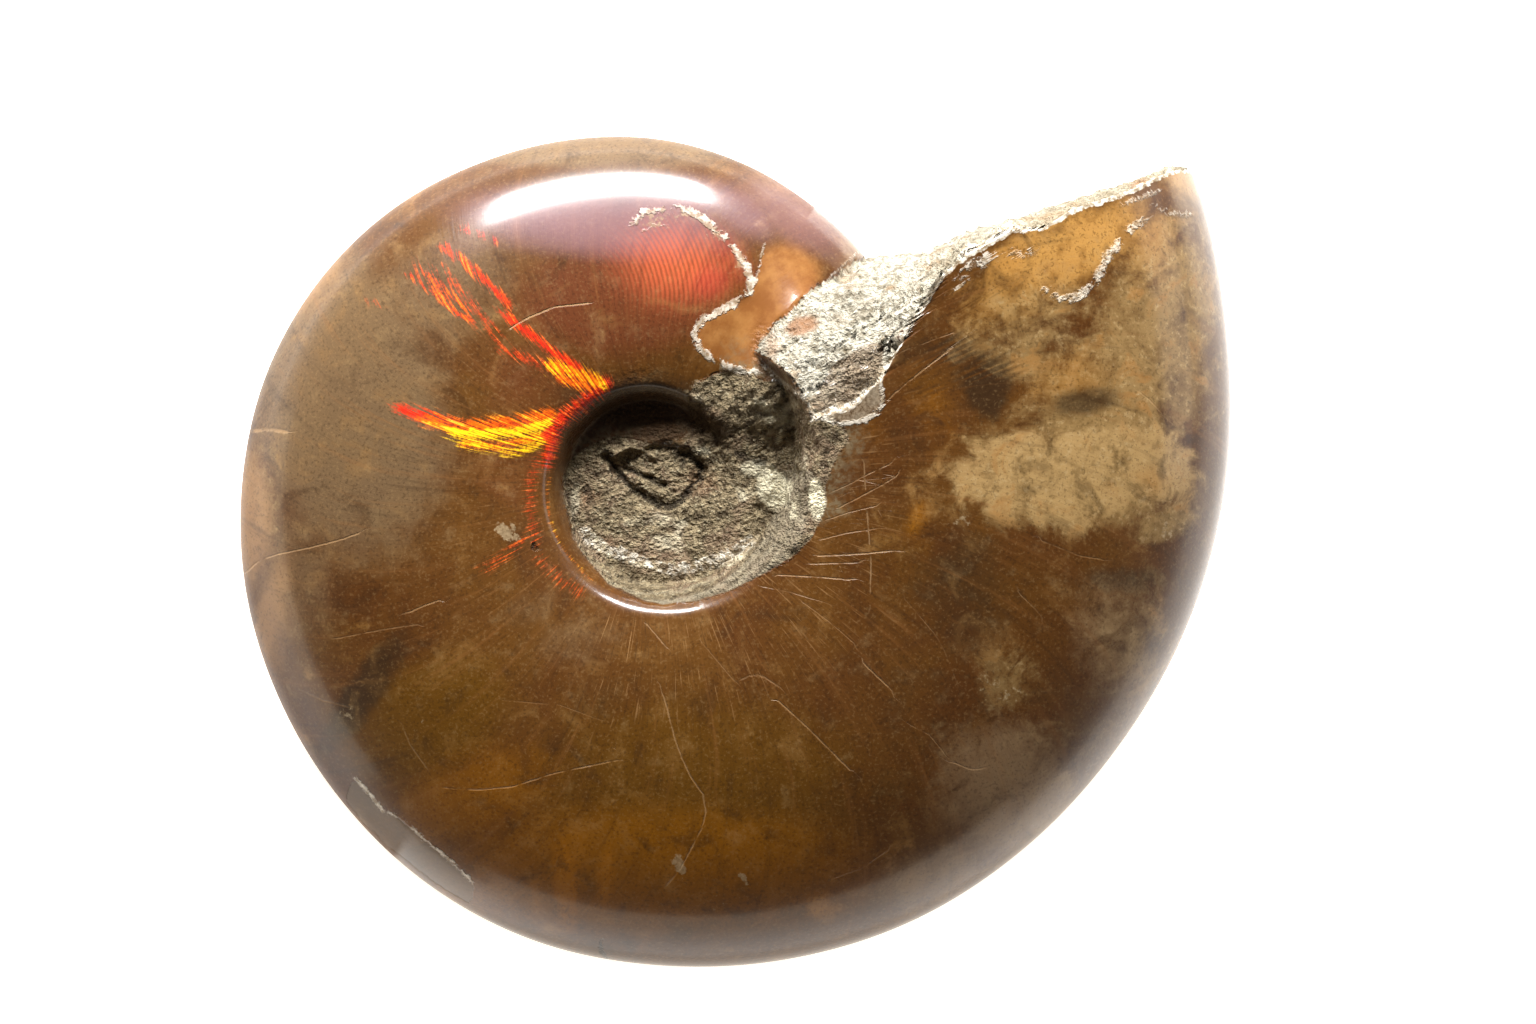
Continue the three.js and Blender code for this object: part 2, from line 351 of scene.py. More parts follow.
def assemble():
    nf, nb = FRONT["x"].shape[0], BACK["x"].shape[0]
    pts, extra = [], {"rock": [], "t": [], "face": [], "body": [], "side": []}

    def push(src, rows, side):
        s = src["s"]
        pts.append(np.stack([src["x"][rows].ravel(), src["y"][rows].ravel(), src["z"][rows].ravel()], 1))
        extra["rock"].append(s["rock"][rows].ravel())
        extra["t"].append(s["t"][rows].ravel())
        extra["face"].append(s["on_face"][rows].astype(float).ravel())
        extra["body"].append(s["on_body"][rows].astype(float).ravel())
        extra["side"].append(np.full(src["x"][rows].size, side))

    # poles first, then the rows
    pole_f = np.array([[0, 0, FRONT["z"][0, 0]]])
    pole_b = np.array([[0, 0, BACK["z"][0, 0]]])
    pts.append(pole_f)
    pts.append(pole_b)
    for key, val in (("rock", 1.0), ("t", 9.0), ("face", 0.0), ("body", 0.0)):
        extra[key].append(np.array([val, val]))
    extra["side"].append(np.array([1.0, -1.0]))
    push(FRONT, slice(1, nf), 1.0)
    push(BACK, slice(1, nb - 1), -1.0)
    co = np.concatenate(pts)
    ex = {k: np.concatenate(v) for k, v in extra.items()}
    f0, b0 = 2, 2 + (nf - 1) * NC
    rim0 = f0 + (nf - 2) * NC
    j = np.arange(NC)
    jn = (j + 1) % NC
    tris, quads = [], []
    tris.append(np.stack([np.zeros(NC, int), f0 + j, f0 + jn], 1))
    for i in range(nf - 2):
        a0, a1 = f0 + i * NC, f0 + (i + 1) * NC
        quads.append(np.stack([a0 + j, a1 + j, a1 + jn, a0 + jn], 1))
    tris.append(np.stack([np.ones(NC, int), b0 + jn, b0 + j], 1))
    for i in range(nb - 2):
        a0 = b0 + i * NC
        a1 = b0 + (i + 1) * NC if i < nb - 3 else rim0
        quads.append(np.stack([a0 + jn, a1 + jn, a1 + j, a0 + j], 1))
    return co, ex, np.concatenate(tris), np.concatenate(quads)


CO, EX, TRIS, QUADS = assemble()


def normals(co):
    n = np.zeros_like(co)
    for f in (TRIS, QUADS[:, [0, 1, 2]], QUADS[:, [0, 2, 3]]):
        c = np.cross(co[f[:, 1]] - co[f[:, 0]], co[f[:, 2]] - co[f[:, 0]])
        for k in range(3):
            np.add.at(n, f[:, k], c)
    return n / (np.linalg.norm(n, axis=1, keepdims=True) + 1e-12)


def roughen(co):
    n = normals(co)
    r = np.hypot(co[:, 0], co[:, 1])
    q = co + np.where(EX["side"] < 0, 400.0, 0.0)[:, None]
    lumps = fbm(q, 34.0, 3, 5)
    grit = fbm(q, 11.0, 3, 31)
    crumb = 1 - np.abs(noise(q, 7.5, 77))
    w = EX["rock"]
    floor = np.where(r < 62, 0.7, np.where(r < 100, 0.55, 1.0))
    amp = w * floor
    d = amp * (5.0 * lumps + 3.4 * grit + 2.2 * (crumb - 0.6))
    d += EX["face"] * (8.0 * fbm(q, 80.0, 3, 9) - 4.0 * np.abs(noise(q, 26.0, 12)) - 2.5 * np.abs(noise(q, 12.0, 19)))
    return co + n * d[:, None]


CO2 = roughen(CO)


def to_world(co):
    m = np.array(TO_WORLD)
    w = (co * U) @ m[:3, :3].T + m[:3, 3]
    w[:, 2] = np.maximum(w[:, 2], 0.0)
    lo, hi = np.array(CAD_LO), np.array(CAD_HI)
    return np.clip(w, lo, hi)


WORLD = to_world(CO2)


def make_mesh(name, world, tris, quads):
    me = bpy.data.meshes.new(name)
    nl = len(tris) * 3 + len(quads) * 4
    me.vertices.add(len(world))
    me.loops.add(nl)
    me.polygons.add(len(tris) + len(quads))
    me.vertices.foreach_set("co", world.astype(np.float32).ravel())
    me.loops.foreach_set("vertex_index", np.concatenate([tris.ravel(), quads.ravel()]).astype(np.int32))
    start = np.concatenate([np.arange(len(tris)) * 3, len(tris) * 3 + np.arange(len(quads)) * 4])
    me.polygons.foreach_set("loop_start", start.astype(np.int32))
    me.update(calc_edges=True)
    me.validate()
    me.polygons.foreach_set("use_smooth", np.ones(len(me.polygons), bool))
    me.update()
    return me


mesh = make_mesh("fossil", WORLD, TRIS, QUADS)
fossil = bpy.data.objects.new("fossil", mesh)
bpy.context.collection.objects.link(fossil)


def attribute(name, values):
    v = np.asarray(values, np.float32)
    if v.ndim == 1:
        a = mesh.attributes.new(name, "FLOAT", "POINT")
        a.data.foreach_set("value", v)
    else:
        a = mesh.attributes.new(name, "FLOAT_VECTOR", "POINT")
        a.data.foreach_set("vector", v.ravel())


# ------------------------------------------------------------------------------------------------
# Marks: where each tone, edge and scratch lies on the plan of the upper flank. The lower flank carries
# the same kinds of tone in other places.
# ------------------------------------------------------------------------------------------------
SHRINK = 1.0 / (1.0 - CO2[:, 2] / VIEW_U)
PX = PLAN_MID[0] + (CENTRE[0] + CO2[:, 0] - PLAN_MID[0]) * np.where(EX["side"] > 0, SHRINK, 1.0)
PY = PLAN_MID[1] + (CENTRE[1] - CO2[:, 1] - PLAN_MID[1]) * np.where(EX["side"] > 0, SHRINK, 1.0)
TOP = EX["side"] > 0
ANG = np.degrees(np.arctan2(CO2[:, 1], CO2[:, 0])) % 360
RAD = np.hypot(CO2[:, 0], CO2[:, 1])
TURNED = np.where(EX["body"] > 0.5, ANG + 360, ANG)
BIG = outer_radius(np.where((ANG < 47) & (EX["body"] > 0.5), ANG + 360, ANG))
RHO = RAD / BIG


def blobs(*items):
    """Soft ovals on the plan: x, y, half length, half width, turn in degrees, strength."""
    out = np.zeros(len(PX))
    for x, y, a, b, rot, w in items:
        c, s_ = math.cos(math.radians(rot)), math.sin(math.radians(rot))
        dx, dy = PX - x, PY - y
        u, v = (dx * c - dy * s_) / a, (dx * s_ + dy * c) / b
        out = np.maximum(out, w * np.exp(-((u * u + v * v) ** 1.5)))
    return out


def line_near(pts, closed=False):
    """Signed distance to a run of plan points, and how far along it each point lies."""
    p = np.array(pts, float)
    best = np.full(len(PX), 1e9)
    sign = np.ones(len(PX))
    run = np.zeros(len(PX))
    length = np.concatenate([[0], np.cumsum(np.hypot(*np.diff(p, axis=0).T))])
    for i in range(len(p) - 1):
        x0, y0 = p[i]
        dx, dy = p[i + 1] - p[i]
        t = ((PX - x0) * dx + (PY - y0) * dy) / (dx * dx + dy * dy)
        tc = np.clip(t, 0, 1)
        d = np.hypot(PX - x0 - tc * dx, PY - y0 - tc * dy)
        sg = np.sign(dx * (PY - y0) - dy * (PX - x0))
        hit = d < best
        best = np.where(hit, d, best)
        sign = np.where(hit, sg, sign)
        run = np.where(hit, length[i] + t * math.hypot(dx, dy), run)
    return best * sign, run / length[-1]


def plan_inside(pts):
    return inside_plan(PX - CENTRE[0], CENTRE[1] - PY, pts)


UNDER = np.where(TOP, 0.0, sstep(4.0, 85.0, np.abs(CO[:, 2])))


def on_top(values, below):
    """The upper flank's values, carried round the keel and fading into the lower flank's own."""
    return values * (1 - UNDER) + below * UNDER


far = CO2 + 900.0
lump = lambda size, seed: 0.5 + 0.5 * fbm(far, size, 3, seed) * 1.6

TONES = {
    # grey-brown shell tone, with a painted reflection as a pale veil over the upper left flank and along the top rim
    "taupe_and_reflection": on_top(blobs((345, 400, 120, 190, 12, 1.0), (300, 330, 70, 110, -30, 0.8), (575, 640, 70, 44, 0, 0.5), (530, 610, 50, 30, 20, 0.5), (880, 500, 40, 60, 0, 0.35), (430, 300, 120, 70, 35, 0.7),
                          (600, 150, 230, 22, 0, 0.9), (780, 200, 90, 30, -32, 0.5), (300, 560, 60, 120, 5, 0.6),
                          (1080, 740, 60, 130, -38, 0.5), (980, 860, 120, 45, 32, 0.4), (330, 740, 60, 100, 30, 0.35)), lump(160, 3) * 0.9),
    "tan": on_top(blobs((262, 500, 22, 60, 0, 0.5), (1130, 640, 44, 60, 20, 0.6), (1060, 760, 60, 40, -40, 0.35), (1075, 480, 125, 52, 0, 1.05), (1150, 350, 70, 120, 8, 0.75),
                        (1020, 330, 80, 60, 20, 0.62), (1165, 525, 42, 20, 20, 0.9), (1010, 680, 42, 38, 0, 0.6),
                        (1100, 430, 110, 40, 0, 0.8), (1185, 290, 35, 90, 5, 0.7), (740, 340, 30, 20, 0, 0.3),
                        (1120, 600, 60, 40, 30, 0.42), (350, 715, 22, 22, 0, 0.4), (1000, 440, 50, 22, 0, 0.6)), lump(90, 8) * 0.95),
    "amber": on_top(blobs((1065, 250, 105, 42, 22, 1.0), (1010, 300, 70, 45, 20, 0.7), (1150, 250, 40, 60, 0, 0.7),
                          (1190, 180, 30, 25, 0, 0.8), (1080, 380, 70, 60, 0, 0.5), (900, 530, 60, 60, 0, 0.32),
                          (820, 850, 60, 36, 10, 0.35),
                          (900, 830, 30, 50, 20, 0.4), (820, 910, 30, 16, 0, 0.5), (360, 640, 30, 40, 0, 0.35)), lump(120, 14) * 0.8),
    # dark mottles of the shell; the wide oval over the top of the coil's hollow is painted shade
    "dark_and_shade": on_top(blobs((985, 385, 26, 40, 10, 0.95), (1085, 402, 38, 17, 10, 0.7), (950, 350, 30, 16, -30, 0.7),
                         (1010, 285, 24, 14, 0, 0.5), (365, 690, 22, 90, -35, 0.7), (1120, 580, 55, 18, 0, 0.55),
                         (915, 350, 46, 16, 28, 0.5), (640, 400, 110, 34, 0, 0.6), (870, 800, 90, 60, 20, 0.35),
                         (930, 700, 130, 120, 0, 0.35), (890, 900, 50, 20, 20, 0.4), (560, 770, 60, 100, 0, 0.2), (960, 590, 70, 80, 0, 0.5), (600, 700, 50, 40, 0, 0.3)), lump(70, 21) * 0.75),
    "olive": on_top(blobs((430, 720, 110, 70, 30, 0.9), (700, 780, 220, 110, 0, 0.8), (520, 640, 60, 50, 0, 0.3),
                          (900, 560, 60, 90, 0, 0.5), (330, 640, 60, 60, 0, 0.5)), lump(140, 25)),
    "red": on_top(blobs((620, 300, 120, 70, 0, 0.95), (540, 380, 90, 60, 0, 0.6), (930, 640, 160, 120, 0, 0.35),
                        (870, 450, 60, 60, 0, 0.4), (560, 660, 70, 60, 0, 0.35), (510, 470, 60, 80, 0, 0.5)), lump(130, 29) * 0.7),
    # painted sheen: a lilac tint below the top highlight, and a little on the lower flank
    "painted_sheen": on_top(blobs((600, 222, 165, 42, -4, 1.0), (480, 235, 70, 26, 28, 0.5), (740, 210, 60, 30, -30, 0.8),
                          (660, 200, 110, 30, 0, 0.9), (790, 215, 84, 34, -32, 0.75), (860, 880, 60, 22, 20, 0.35)), 0.2 * lump(150, 33)),
    "pale": on_top(blobs((862, 256, 30, 22, -40, 0.7), (742, 262, 9, 22, 25, 0.6), (700, 218, 40, 10, 10, 0.5), (1188, 190, 24, 30, 0, 0.8), (1200, 230, 16, 40, 0, 0.5), (975, 264, 16, 10, 0, 0.8)), 0.0 * RAD),
    # painted reflection: pale warm band along the rims, and key light spilling onto the top left rim
    "rim_reflection": on_top(blobs((440, 165, 210, 26, 30, 0.4), (300, 270, 70, 40, 50, 0.8), (620, 146, 200, 13, 0, 0.0), (252, 520, 22, 70, 0, 1.0), (268, 620, 16, 80, -14, 0.9),
                           (275, 640, 22, 80, -14, 0.5)), sstep(0.9, 1.0, RHO)),
    "glow": on_top(blobs((566, 882, 15, 50, 4, 1.0), (606, 876, 10, 36, -6, 0.85), (536, 890, 6, 26, 6, 0.5), (820, 905, 26, 16, 10, 0.5), (575, 850, 22, 30, 0, 0.5),
                          (545, 400, 30, 30, 0, 0.25), (1152, 482, 26, 24, 0, 0.5), (920, 530, 13, 34, 0, 0.7), (930, 400, 26, 60, 20, 0.5), (870, 430, 22, 30, 0, 0.4), (1010, 260, 50, 20, 25, 0.4)), 0.0 * RAD),
    "low": on_top(blobs((650, 868, 280, 74, 0, 1.0), (470, 800, 120, 60, 25, 0.8)), lump(150, 41) * 0.6),
    # painted reflection: a pale haze on the lower right flank
    "reflection_haze": on_top(blobs((1010, 790, 90, 80, -40, 0.9), (1120, 640, 60, 90, 20, 0.7), (930, 880, 80, 40, 20, 0.7)), 0.0 * RAD),
    "faceshade": on_top(blobs((1075, 218, 110, 26, 22, 1.0), (960, 262, 50, 20, 35, 0.8), (1150, 180, 50, 18, 20, 1.0)), 0.25 + 0.0 * RAD),
    "window": on_top(blobs((782, 282, 40, 44, -30, 1.0), (732, 338, 48, 38, 0, 1.1), (765, 320, 40, 30, 0, 1.0)), 0.0 * RAD),
    "umber": on_top(blobs((802, 326, 20, 11, 20, 1.0), (772, 345, 10, 22, 0, 0.6), (840, 320, 30, 10, -40, 0.35), (1146, 190, 18, 12, -20, 0.9),
                          (590, 500, 20, 16, 0, 0.5), (702, 480, 30, 24, 0, 0.45), (606, 545, 16, 12, 0, 0.5)), 0.0 * RAD),
    # painted shade: the hollow under the coil's top wall and the dark crescent beside the mouth's lobe
    "recess_shade": on_top(blobs((640, 412, 64, 22, 0, 1.0), (588, 426, 34, 18, 35, 0.45), (657, 434, 36, 9, 0, 1.1), (705, 425, 46, 22, -28, 0.9), (740, 455, 26, 8, -30, 0.7),
                         (600, 405, 60, 18, 30, 0.6), (772, 374, 16, 12, -50, 0.8), (762, 352, 10, 24, 0, 0.7), (815, 420, 26, 7, -20, 0.6),
                         (674, 452, 16, 10, 0, 0.6)), 0.0 * RAD),
    # pale cream bits of the rock; the oval at (768, 412) on the bank beside the mouth's lobe is painted light
    "cream_and_lit_patch": on_top(blobs((772, 487, 18, 26, 20, 1.0), (816, 498, 9, 22, 5, 0.95), (756, 470, 18, 14, 0, 0.7), (735, 556, 24, 7, 20, 0.5),
                          (640, 430, 26, 9, 0, 0.55), (700, 452, 20, 10, 0, 0.5), (779, 438, 4, 10, -12, 0.7), (575, 500, 8, 26, 0, 0.5),
                          (660, 520, 60, 12, 0, 0.45), (700, 398, 12, 10, 0, 0.4), (600, 545, 30, 7, -42, 0.62), (646, 566, 34, 5, -14, 0.5),
                          (712, 566, 34, 5, 8, 0.4), (790, 500, 14, 30, 20, 0.6), (742, 492, 24, 12, 0, 0.45), (668, 540, 40, 14, 0, 0.4), (800, 470, 12, 30, 0, 0.4), (768, 412, 36, 28, 0, 0.55), (860, 330, 60, 30, -38, 0.3)), 0.0 * RAD),
    "bankdark": on_top(blobs((750, 400, 60, 34, 0, 1.0), (720, 430, 40, 30, 0, 0.8), (800, 430, 40, 30, 0, 0.8), (700, 500, 90, 40, 0, 0.35),
                             (740, 520, 60, 30, 0, 0.45)), 0.35 + 0.0 * RAD),
    "wallgrey": on_top(sstep(112, 124, RAD) * sstep(160, 145, RAD) * (PY > 470), 0.0 * RAD),
}

# the amber window in the outer nacre, and the flaked edge under the mouth
NACRE = [(765, 243), (760, 262), (756, 282), (749, 296), (735, 303), (718, 312), (700, 322), (694, 332), (697, 345),
         (708, 355), (722, 364), (738, 371), (757, 372), (764, 352), (768, 335), (782, 322), (802, 309), (830, 300),
         (890, 250), (850, 190), (800, 180), (775, 205)]
FLAKE = [(1147, 218), (1127, 230), (1117, 246), (1103, 258), (1101, 272), (1093, 284), (1073, 300), (1057, 296),
         (1043, 287), (1032, 268), (1010, 262), (985, 262), (1000, 240), (1060, 200), (1160, 140), (1250, 160), (1200, 205)]
SIDE_CHIP = [(354, 777), (371, 795), (383, 811), (400, 817), (419, 834), (451, 861), (475, 884), (470, 905), (430, 880), (380, 840), (345, 800)]
FLAP = [(832, 366), (852, 352), (872, 342), (884, 346), (883, 362), (880, 380), (884, 402), (880, 413), (862, 421), (840, 423), (822, 416), (812, 405), (822, 385)]
TAN_PATCH = [(962, 452), (985, 440), (1010, 432), (1050, 436), (1090, 425), (1130, 432), (1165, 425), (1192, 440), (1196, 480),
             (1180, 505), (1150, 500), (1110, 512), (1085, 530), (1050, 522), (1020, 512), (985, 508), (962, 500), (950, 475)]
NACRE_D = on_top(plan_inside(NACRE), -60.0)
FLAKE_D = on_top(plan_inside(FLAKE), -60.0)
CHIP_D = on_top(plan_inside(SIDE_CHIP), -60.0)
FLAP_D = on_top(plan_inside(FLAP), -60.0)
TAN_D = on_top(plan_inside(TAN_PATCH), -60.0)

# flashes: run of points, half width, hue from red 0 to yellow 1
FLASHES = [
    ([(394, 408), (425, 415), (455, 424)], 7, 0.0, 1.0), ([(430, 419), (470, 427), (510, 424), (550, 416)], 9, 0.42, 1.0),
    ([(453, 431), (490, 433), (520, 430), (548, 422)], 8.5, 0.95, 1.1), ([(462, 443), (500, 446), (540, 436)], 7, 0.7, 0.95),
    ([(505, 452), (525, 450), (545, 440)], 6, 0.85, 0.8),
    ([(546, 436), (560, 420), (578, 408), (594, 394), (604, 385)], 10, 0.02, 0.95), ([(552, 366), (575, 372), (603, 386)], 9, 0.62, 1.1),
    ([(560, 378), (580, 384), (600, 389)], 7, 0.45, 0.9),
    ([(503, 314), (530, 334), (556, 354), (578, 368)], 5.5, 0.04, 1.0), ([(490, 345), (530, 360), (560, 372)], 8, 0.0, 0.45),
    ([(408, 272), (440, 296), (462, 318)], 4, 0.1, 0.75), ([(426, 272), (453, 295), (480, 328)], 4, 0.2, 0.7),
    ([(436, 262), (462, 290), (496, 330)], 5, 0.0, 0.5), ([(446, 248), (477, 273), (506, 302)], 5, 0.05, 0.9),
    ([(420, 268), (470, 310), (500, 345)], 12, 0.0, 0.35),
    ([(462, 228), (478, 233), (492, 240)], 6, -0.2, 0.55), ([(560, 425), (552, 444), (548, 462)], 8, 0.02, 0.9),
    ([(538, 462), (530, 482), (530, 508), (535, 540)], 9, 0.0, 0.4), ([(524, 540), (505, 556), (482, 570)], 8, 0.1, 0.42),
    ([(550, 476), (547, 495), (550, 522)], 2.2, 0.35, 0.4), ([(550, 520), (559, 542), (573, 561), (591, 580)], 2.2, 0.5, 0.42),
    ([(366, 300), (380, 306)], 5, 0.0, 0.4), ([(540, 560), (560, 580), (580, 592)], 10, 0.05, 0.35),
]
FLASH, HUE = np.zeros(len(PX)), np.zeros(len(PX))
for pts, wide, hue, power in FLASHES:
    d, run = line_near(pts)
    f = power * np.exp(-((np.abs(d) / wide) ** 2))
    HUE = np.where(f > FLASH, hue, HUE)
    FLASH = np.maximum(FLASH, f)
FLASH = on_top(FLASH, 0.0)
_dx, _dy = (PX - 676) / 52.0, (PY - 266) / 36.0
FAN = on_top(np.exp(-((_dx * _dx + _dy * _dy) ** 1.25)), 0.0)
PINK = on_top(blobs((712, 280, 22, 18, 20, 0.8), (732, 262, 16, 26, 30, 0.5)), 0.0)
FAN_R = np.hypot(PX - 560, (PY - 300))

# scratches and cracks: run of points, half width, strength
SCRATCHES = [
    ([(508, 330), (525, 319), (554, 307), (590, 303)], 1.2, 0.95), ([(816, 556), (860, 554), (902, 550)], 1.0, 0.9), ([(809, 564), (840, 563), (868, 563)], 0.9, 0.6),
    ([(777, 575), (820, 577), (861, 581)], 0.9, 0.8), ([(838, 508), (870, 492), (902, 473)], 0.9, 0.6), ([(858, 478), (878, 470), (898, 460)], 0.9, 0.7),
    ([(860, 660), (878, 677), (898, 696)], 1.0, 0.6), ([(446, 788), (477, 790), (511, 787), (555, 773), (618, 760)], 1.0, 0.6),
    ([(883, 403), (920, 372), (967, 337)], 1.1, 0.8), ([(820, 540), (850, 532), (886, 528)], 0.9, 0.5), ([(866, 378), (900, 352), (960, 330)], 0.9, 0.35),
    ([(400, 617), (420, 607), (440, 600)], 1.1, 0.5), ([(1105, 350), (1112, 380)], 1.6, 0.3), ([(1130, 385), (1150, 400), (1172, 424)], 1.1, 0.3),
    ([(252, 431), (268, 429), (288, 432)], 2.6, 0.7), ([(950, 760), (965, 770), (990, 768)], 1.1, 0.4), ([(864, 462), (866, 500), (871, 560), (870, 611)], 1.0, 0.8),
    ([(826, 520), (850, 512), (880, 505)], 0.8, 0.45), ([(832, 492), (850, 484), (868, 474)], 0.8, 0.4), ([(800, 600), (830, 622), (862, 650)], 0.8, 0.3),
    ([(700, 640), (720, 664), (742, 690)], 0.8, 0.25), ([(1015, 590), (1030, 603), (1045, 620)], 1.0, 0.35), ([(760, 586), (790, 592), (830, 604)], 0.8, 0.35),
    ([(646, 623), (657, 636), (669, 650)], 1.0, 0.5), ([(661, 686), (668, 712), (676, 743), (686, 768), (696, 786), (707, 799), (705, 822), (696, 839), (686, 859), (676, 875), (664, 889)], 1.1, 0.55),
    ([(740, 680), (758, 672), (786, 692)], 1.2, 0.5), ([(776, 699), (805, 725), (828, 748), (851, 771)], 1.1, 0.6),
    ([(246, 573), (258, 561), (277, 554), (308, 548), (340, 540), (364, 531)], 1.2, 0.6), ([(330, 640), (380, 630), (420, 624)], 1.0, 0.35),
    ([(300, 690), (322, 700), (345, 706)], 1.2, 0.3), 
    ([(500, 700), (560, 705), (600, 720)], 0.8, 0.22), ([(906, 600), (940, 640), (960, 690)], 0.8, 0.25), 
    ([(1040, 540), (1080, 556), (1110, 560)], 1.0, 0.3), 
    ([(900, 720), (930, 735), (950, 760)], 0.9, 0.3), ([(830, 880), (860, 870), (890, 850)], 0.9, 0.3), ([(400, 720), (410, 745), (428, 770)], 0.9, 0.3),
]
# pale broken edges: run of points, half width, strength
EDGES = [
    ([(632, 224), (640, 214), (655, 210), (672, 208), (690, 211), (704, 219), (716, 230), (728, 240), (738, 253), (747, 267), (752, 282), (748, 295),
      (735, 303), (718, 312), (700, 322), (694, 334), (698, 347), (710, 357), (724, 365), (740, 371), (757, 372)], 3.3, 1.0),
    ([(765, 243), (760, 262), (756, 282), (750, 296)], 1.5, 0.55), ([(883, 362), (880, 380), (884, 402), (880, 413), (862, 422), (838, 424), (813, 414), (806, 400), (784, 384), (764, 366)], 2.4, 0.9),
    ([(762, 360), (760, 342), (772, 325), (792, 312), (820, 288), (846, 262), (866, 246)], 1.6, 0.45), ([(832, 366), (850, 352), (878, 340), (900, 326)], 1.8, 0.6),
    ([(830, 372), (836, 395), (832, 418)], 1.6, 0.4), ([(640, 232), (652, 226), (668, 226)], 2.0, 0.4),
    ([(1147, 218), (1138, 224), (1127, 230), (1120, 240), (1112, 252), (1103, 259), (1101, 272), (1093, 284), (1082, 293), (1072, 301), (1058, 297), (1043, 288)], 4.2, 0.7),
    ([(1152, 205), (1170, 214), (1192, 214)], 3.0, 0.5), ([(582, 526), (590, 541), (607, 549), (627, 556), (642, 563), (665, 570), (690, 568), (715, 561), (735, 552), (752, 540)], 6.0, 0.9),
    ([(957, 282), (967, 271), (981, 262), (993, 257)], 5.5, 1.0), ([(1010, 250), (1022, 256), (1036, 250)], 3.5, 0.6), ([(1120, 206), (1140, 198), (1162, 190)], 3.0, 0.5),
    ([(354, 777), (371, 795), (383, 811), (400, 817), (419, 834), (451, 861), (475, 884)], 1.9, 0.8),
]
# dark strokes in the ring groove, its inner groove and small pits: painted shade; they also sink the bump
SHADED_CAVITIES = [
    ([(608, 456), (614, 465), (620, 475), (628, 484), (637, 492), (647, 498), (659, 504), (671, 507), (682, 500), (690, 488), (700, 480), (702, 470), (697, 462)], 2.6, 1.0),
    ([(624, 468), (634, 471), (646, 477), (656, 482), (665, 488)], 2.4, 0.95), ([(664, 440), (676, 452), (684, 466)], 3.6, 0.7),
    ([(601, 938), (600, 948), (606, 958), (618, 966)], 1.6, 0.9), ([(586, 486), (590, 500), (596, 512)], 3.5, 0.7), ([(566, 480), (572, 512), (588, 545), (612, 568)], 2.0, 0.4),
    ([(735, 452), (750, 458), (765, 466)], 3.5, 0.8), ([(533, 545), (538, 550)], 2.4, 0.8),
]


def split(items, gap=16.0):
    """Sets of strokes whose members keep clear of each other."""
    sets = []
    for item in items:
        p = np.array(item[0], float)
        d = [np.concatenate([np.linspace(p[k], p[k + 1], 12) for k in range(len(p) - 1)])]
        for group in sets:
            if all(np.min(np.hypot(*(d[0][:, None] - o[None]).T)) > gap for o in group[1]):
                group[0].append(item)
                group[1].append(d[0])
                break
        else:
            sets.append(([item], [d[0]]))
    return [g[0] for g in sets]


def strokes(items):
    dist, weight = np.full(len(PX), 60.0), np.zeros(len(PX))
    for pts, wide, power in items:
        d, run = line_near(pts)
        n = (len(pts) - 1) * 25.0
        ends = sstep(-0.06, 0.03, run) * sstep(1.06, 0.97, run)
        near = np.abs(d / wide) < np.abs(dist)
        dist = np.where(near, d / wide, dist)
        weight = np.where(near, power * ends * (np.abs(d) < 7.5), weight)
    return on_top(np.clip(dist, -40, 40), 40.0), on_top(weight, 0.0)


LINE_SETS = {}
for kind, items in (("scr", SCRATCHES), ("edg", EDGES), ("cav", SHADED_CAVITIES)):
    LINE_SETS[kind] = []
    for k, group in enumerate(split(items)):
        d, w = strokes(group)
        LINE_SETS[kind].append((kind + str(k) + "_d", kind + str(k) + "_w", d, w))

# pits and light bits: x, y, radius
SPOTS = on_top(blobs((679, 866, 6, 14, 15, 1.0), (745, 876, 5, 5, 0, 0.9), (811, 610, 5, 5, 0, 0.7), (715, 905, 16, 10, 0, 0.5),
                     (662, 918, 12, 7, 0, 0.35), (507, 532, 14, 10, -40, 0.9), (420, 722, 8, 12, 0, 0.5), (870, 655, 5, 5, 0, 0.4),
                     (1000, 690, 26, 22, 0, 0.5), (350, 712, 14, 12, 0, 0.55), (735, 395, 22, 10, 0, 0.2), (540, 548, 6, 6, 0, 0.3),
                     (900, 632, 8, 6, 0, 0.5), (1165, 530, 20, 14, 0, 0.6), (1175, 335, 10, 8, 0, 0.5), (702, 388, 22, 14, 0, 0.55), (712, 416, 9, 22, 0, 0.5), (735, 385, 30, 10, 0, 0.4), (652, 220, 24, 11, -10, 0.62), (690, 214, 26, 7, 0, 0.6), (716, 232, 14, 10, 40, 0.6), (740, 262, 9, 14, 20, 0.55), (965, 520, 16, 8, 0, 0.6)), 0.0)

attribute("q", CO)
attribute("growth", np.stack([TURNED + 26 * (RHO - 0.3) ** 2 * 1.2, RAD, EX["side"] * 60.0], 1))
attribute("rock", EX["rock"])
attribute("ring", on_top(sstep(100, 112, RAD) * sstep(150, 138, RAD) * np.where((ANG > 150) & (ANG < 330), 1.0, 0.0), 0.0))
ROCK_D = on_top(inside_plan(CO[:, 0], CO[:, 1], ROCK_PLAN) - 60 * sstep(505, 555, PY), -60.0)
attribute("rock_d", np.where((CO[:, 0] > 60) | (RAD < 90), ROCK_D, -60.0))
attribute("radial", on_top(sstep(122, 140, RAD) * sstep(300, 170, RAD) * np.where((ANG > 250) | (ANG < 25), 1.0, 0.25), 0.3))
attribute("face", EX["face"])
attribute("radius", RAD)
attribute("top", np.where(TOP, 1.0, 0.0))
for key, val in TONES.items():
    attribute(key, val)
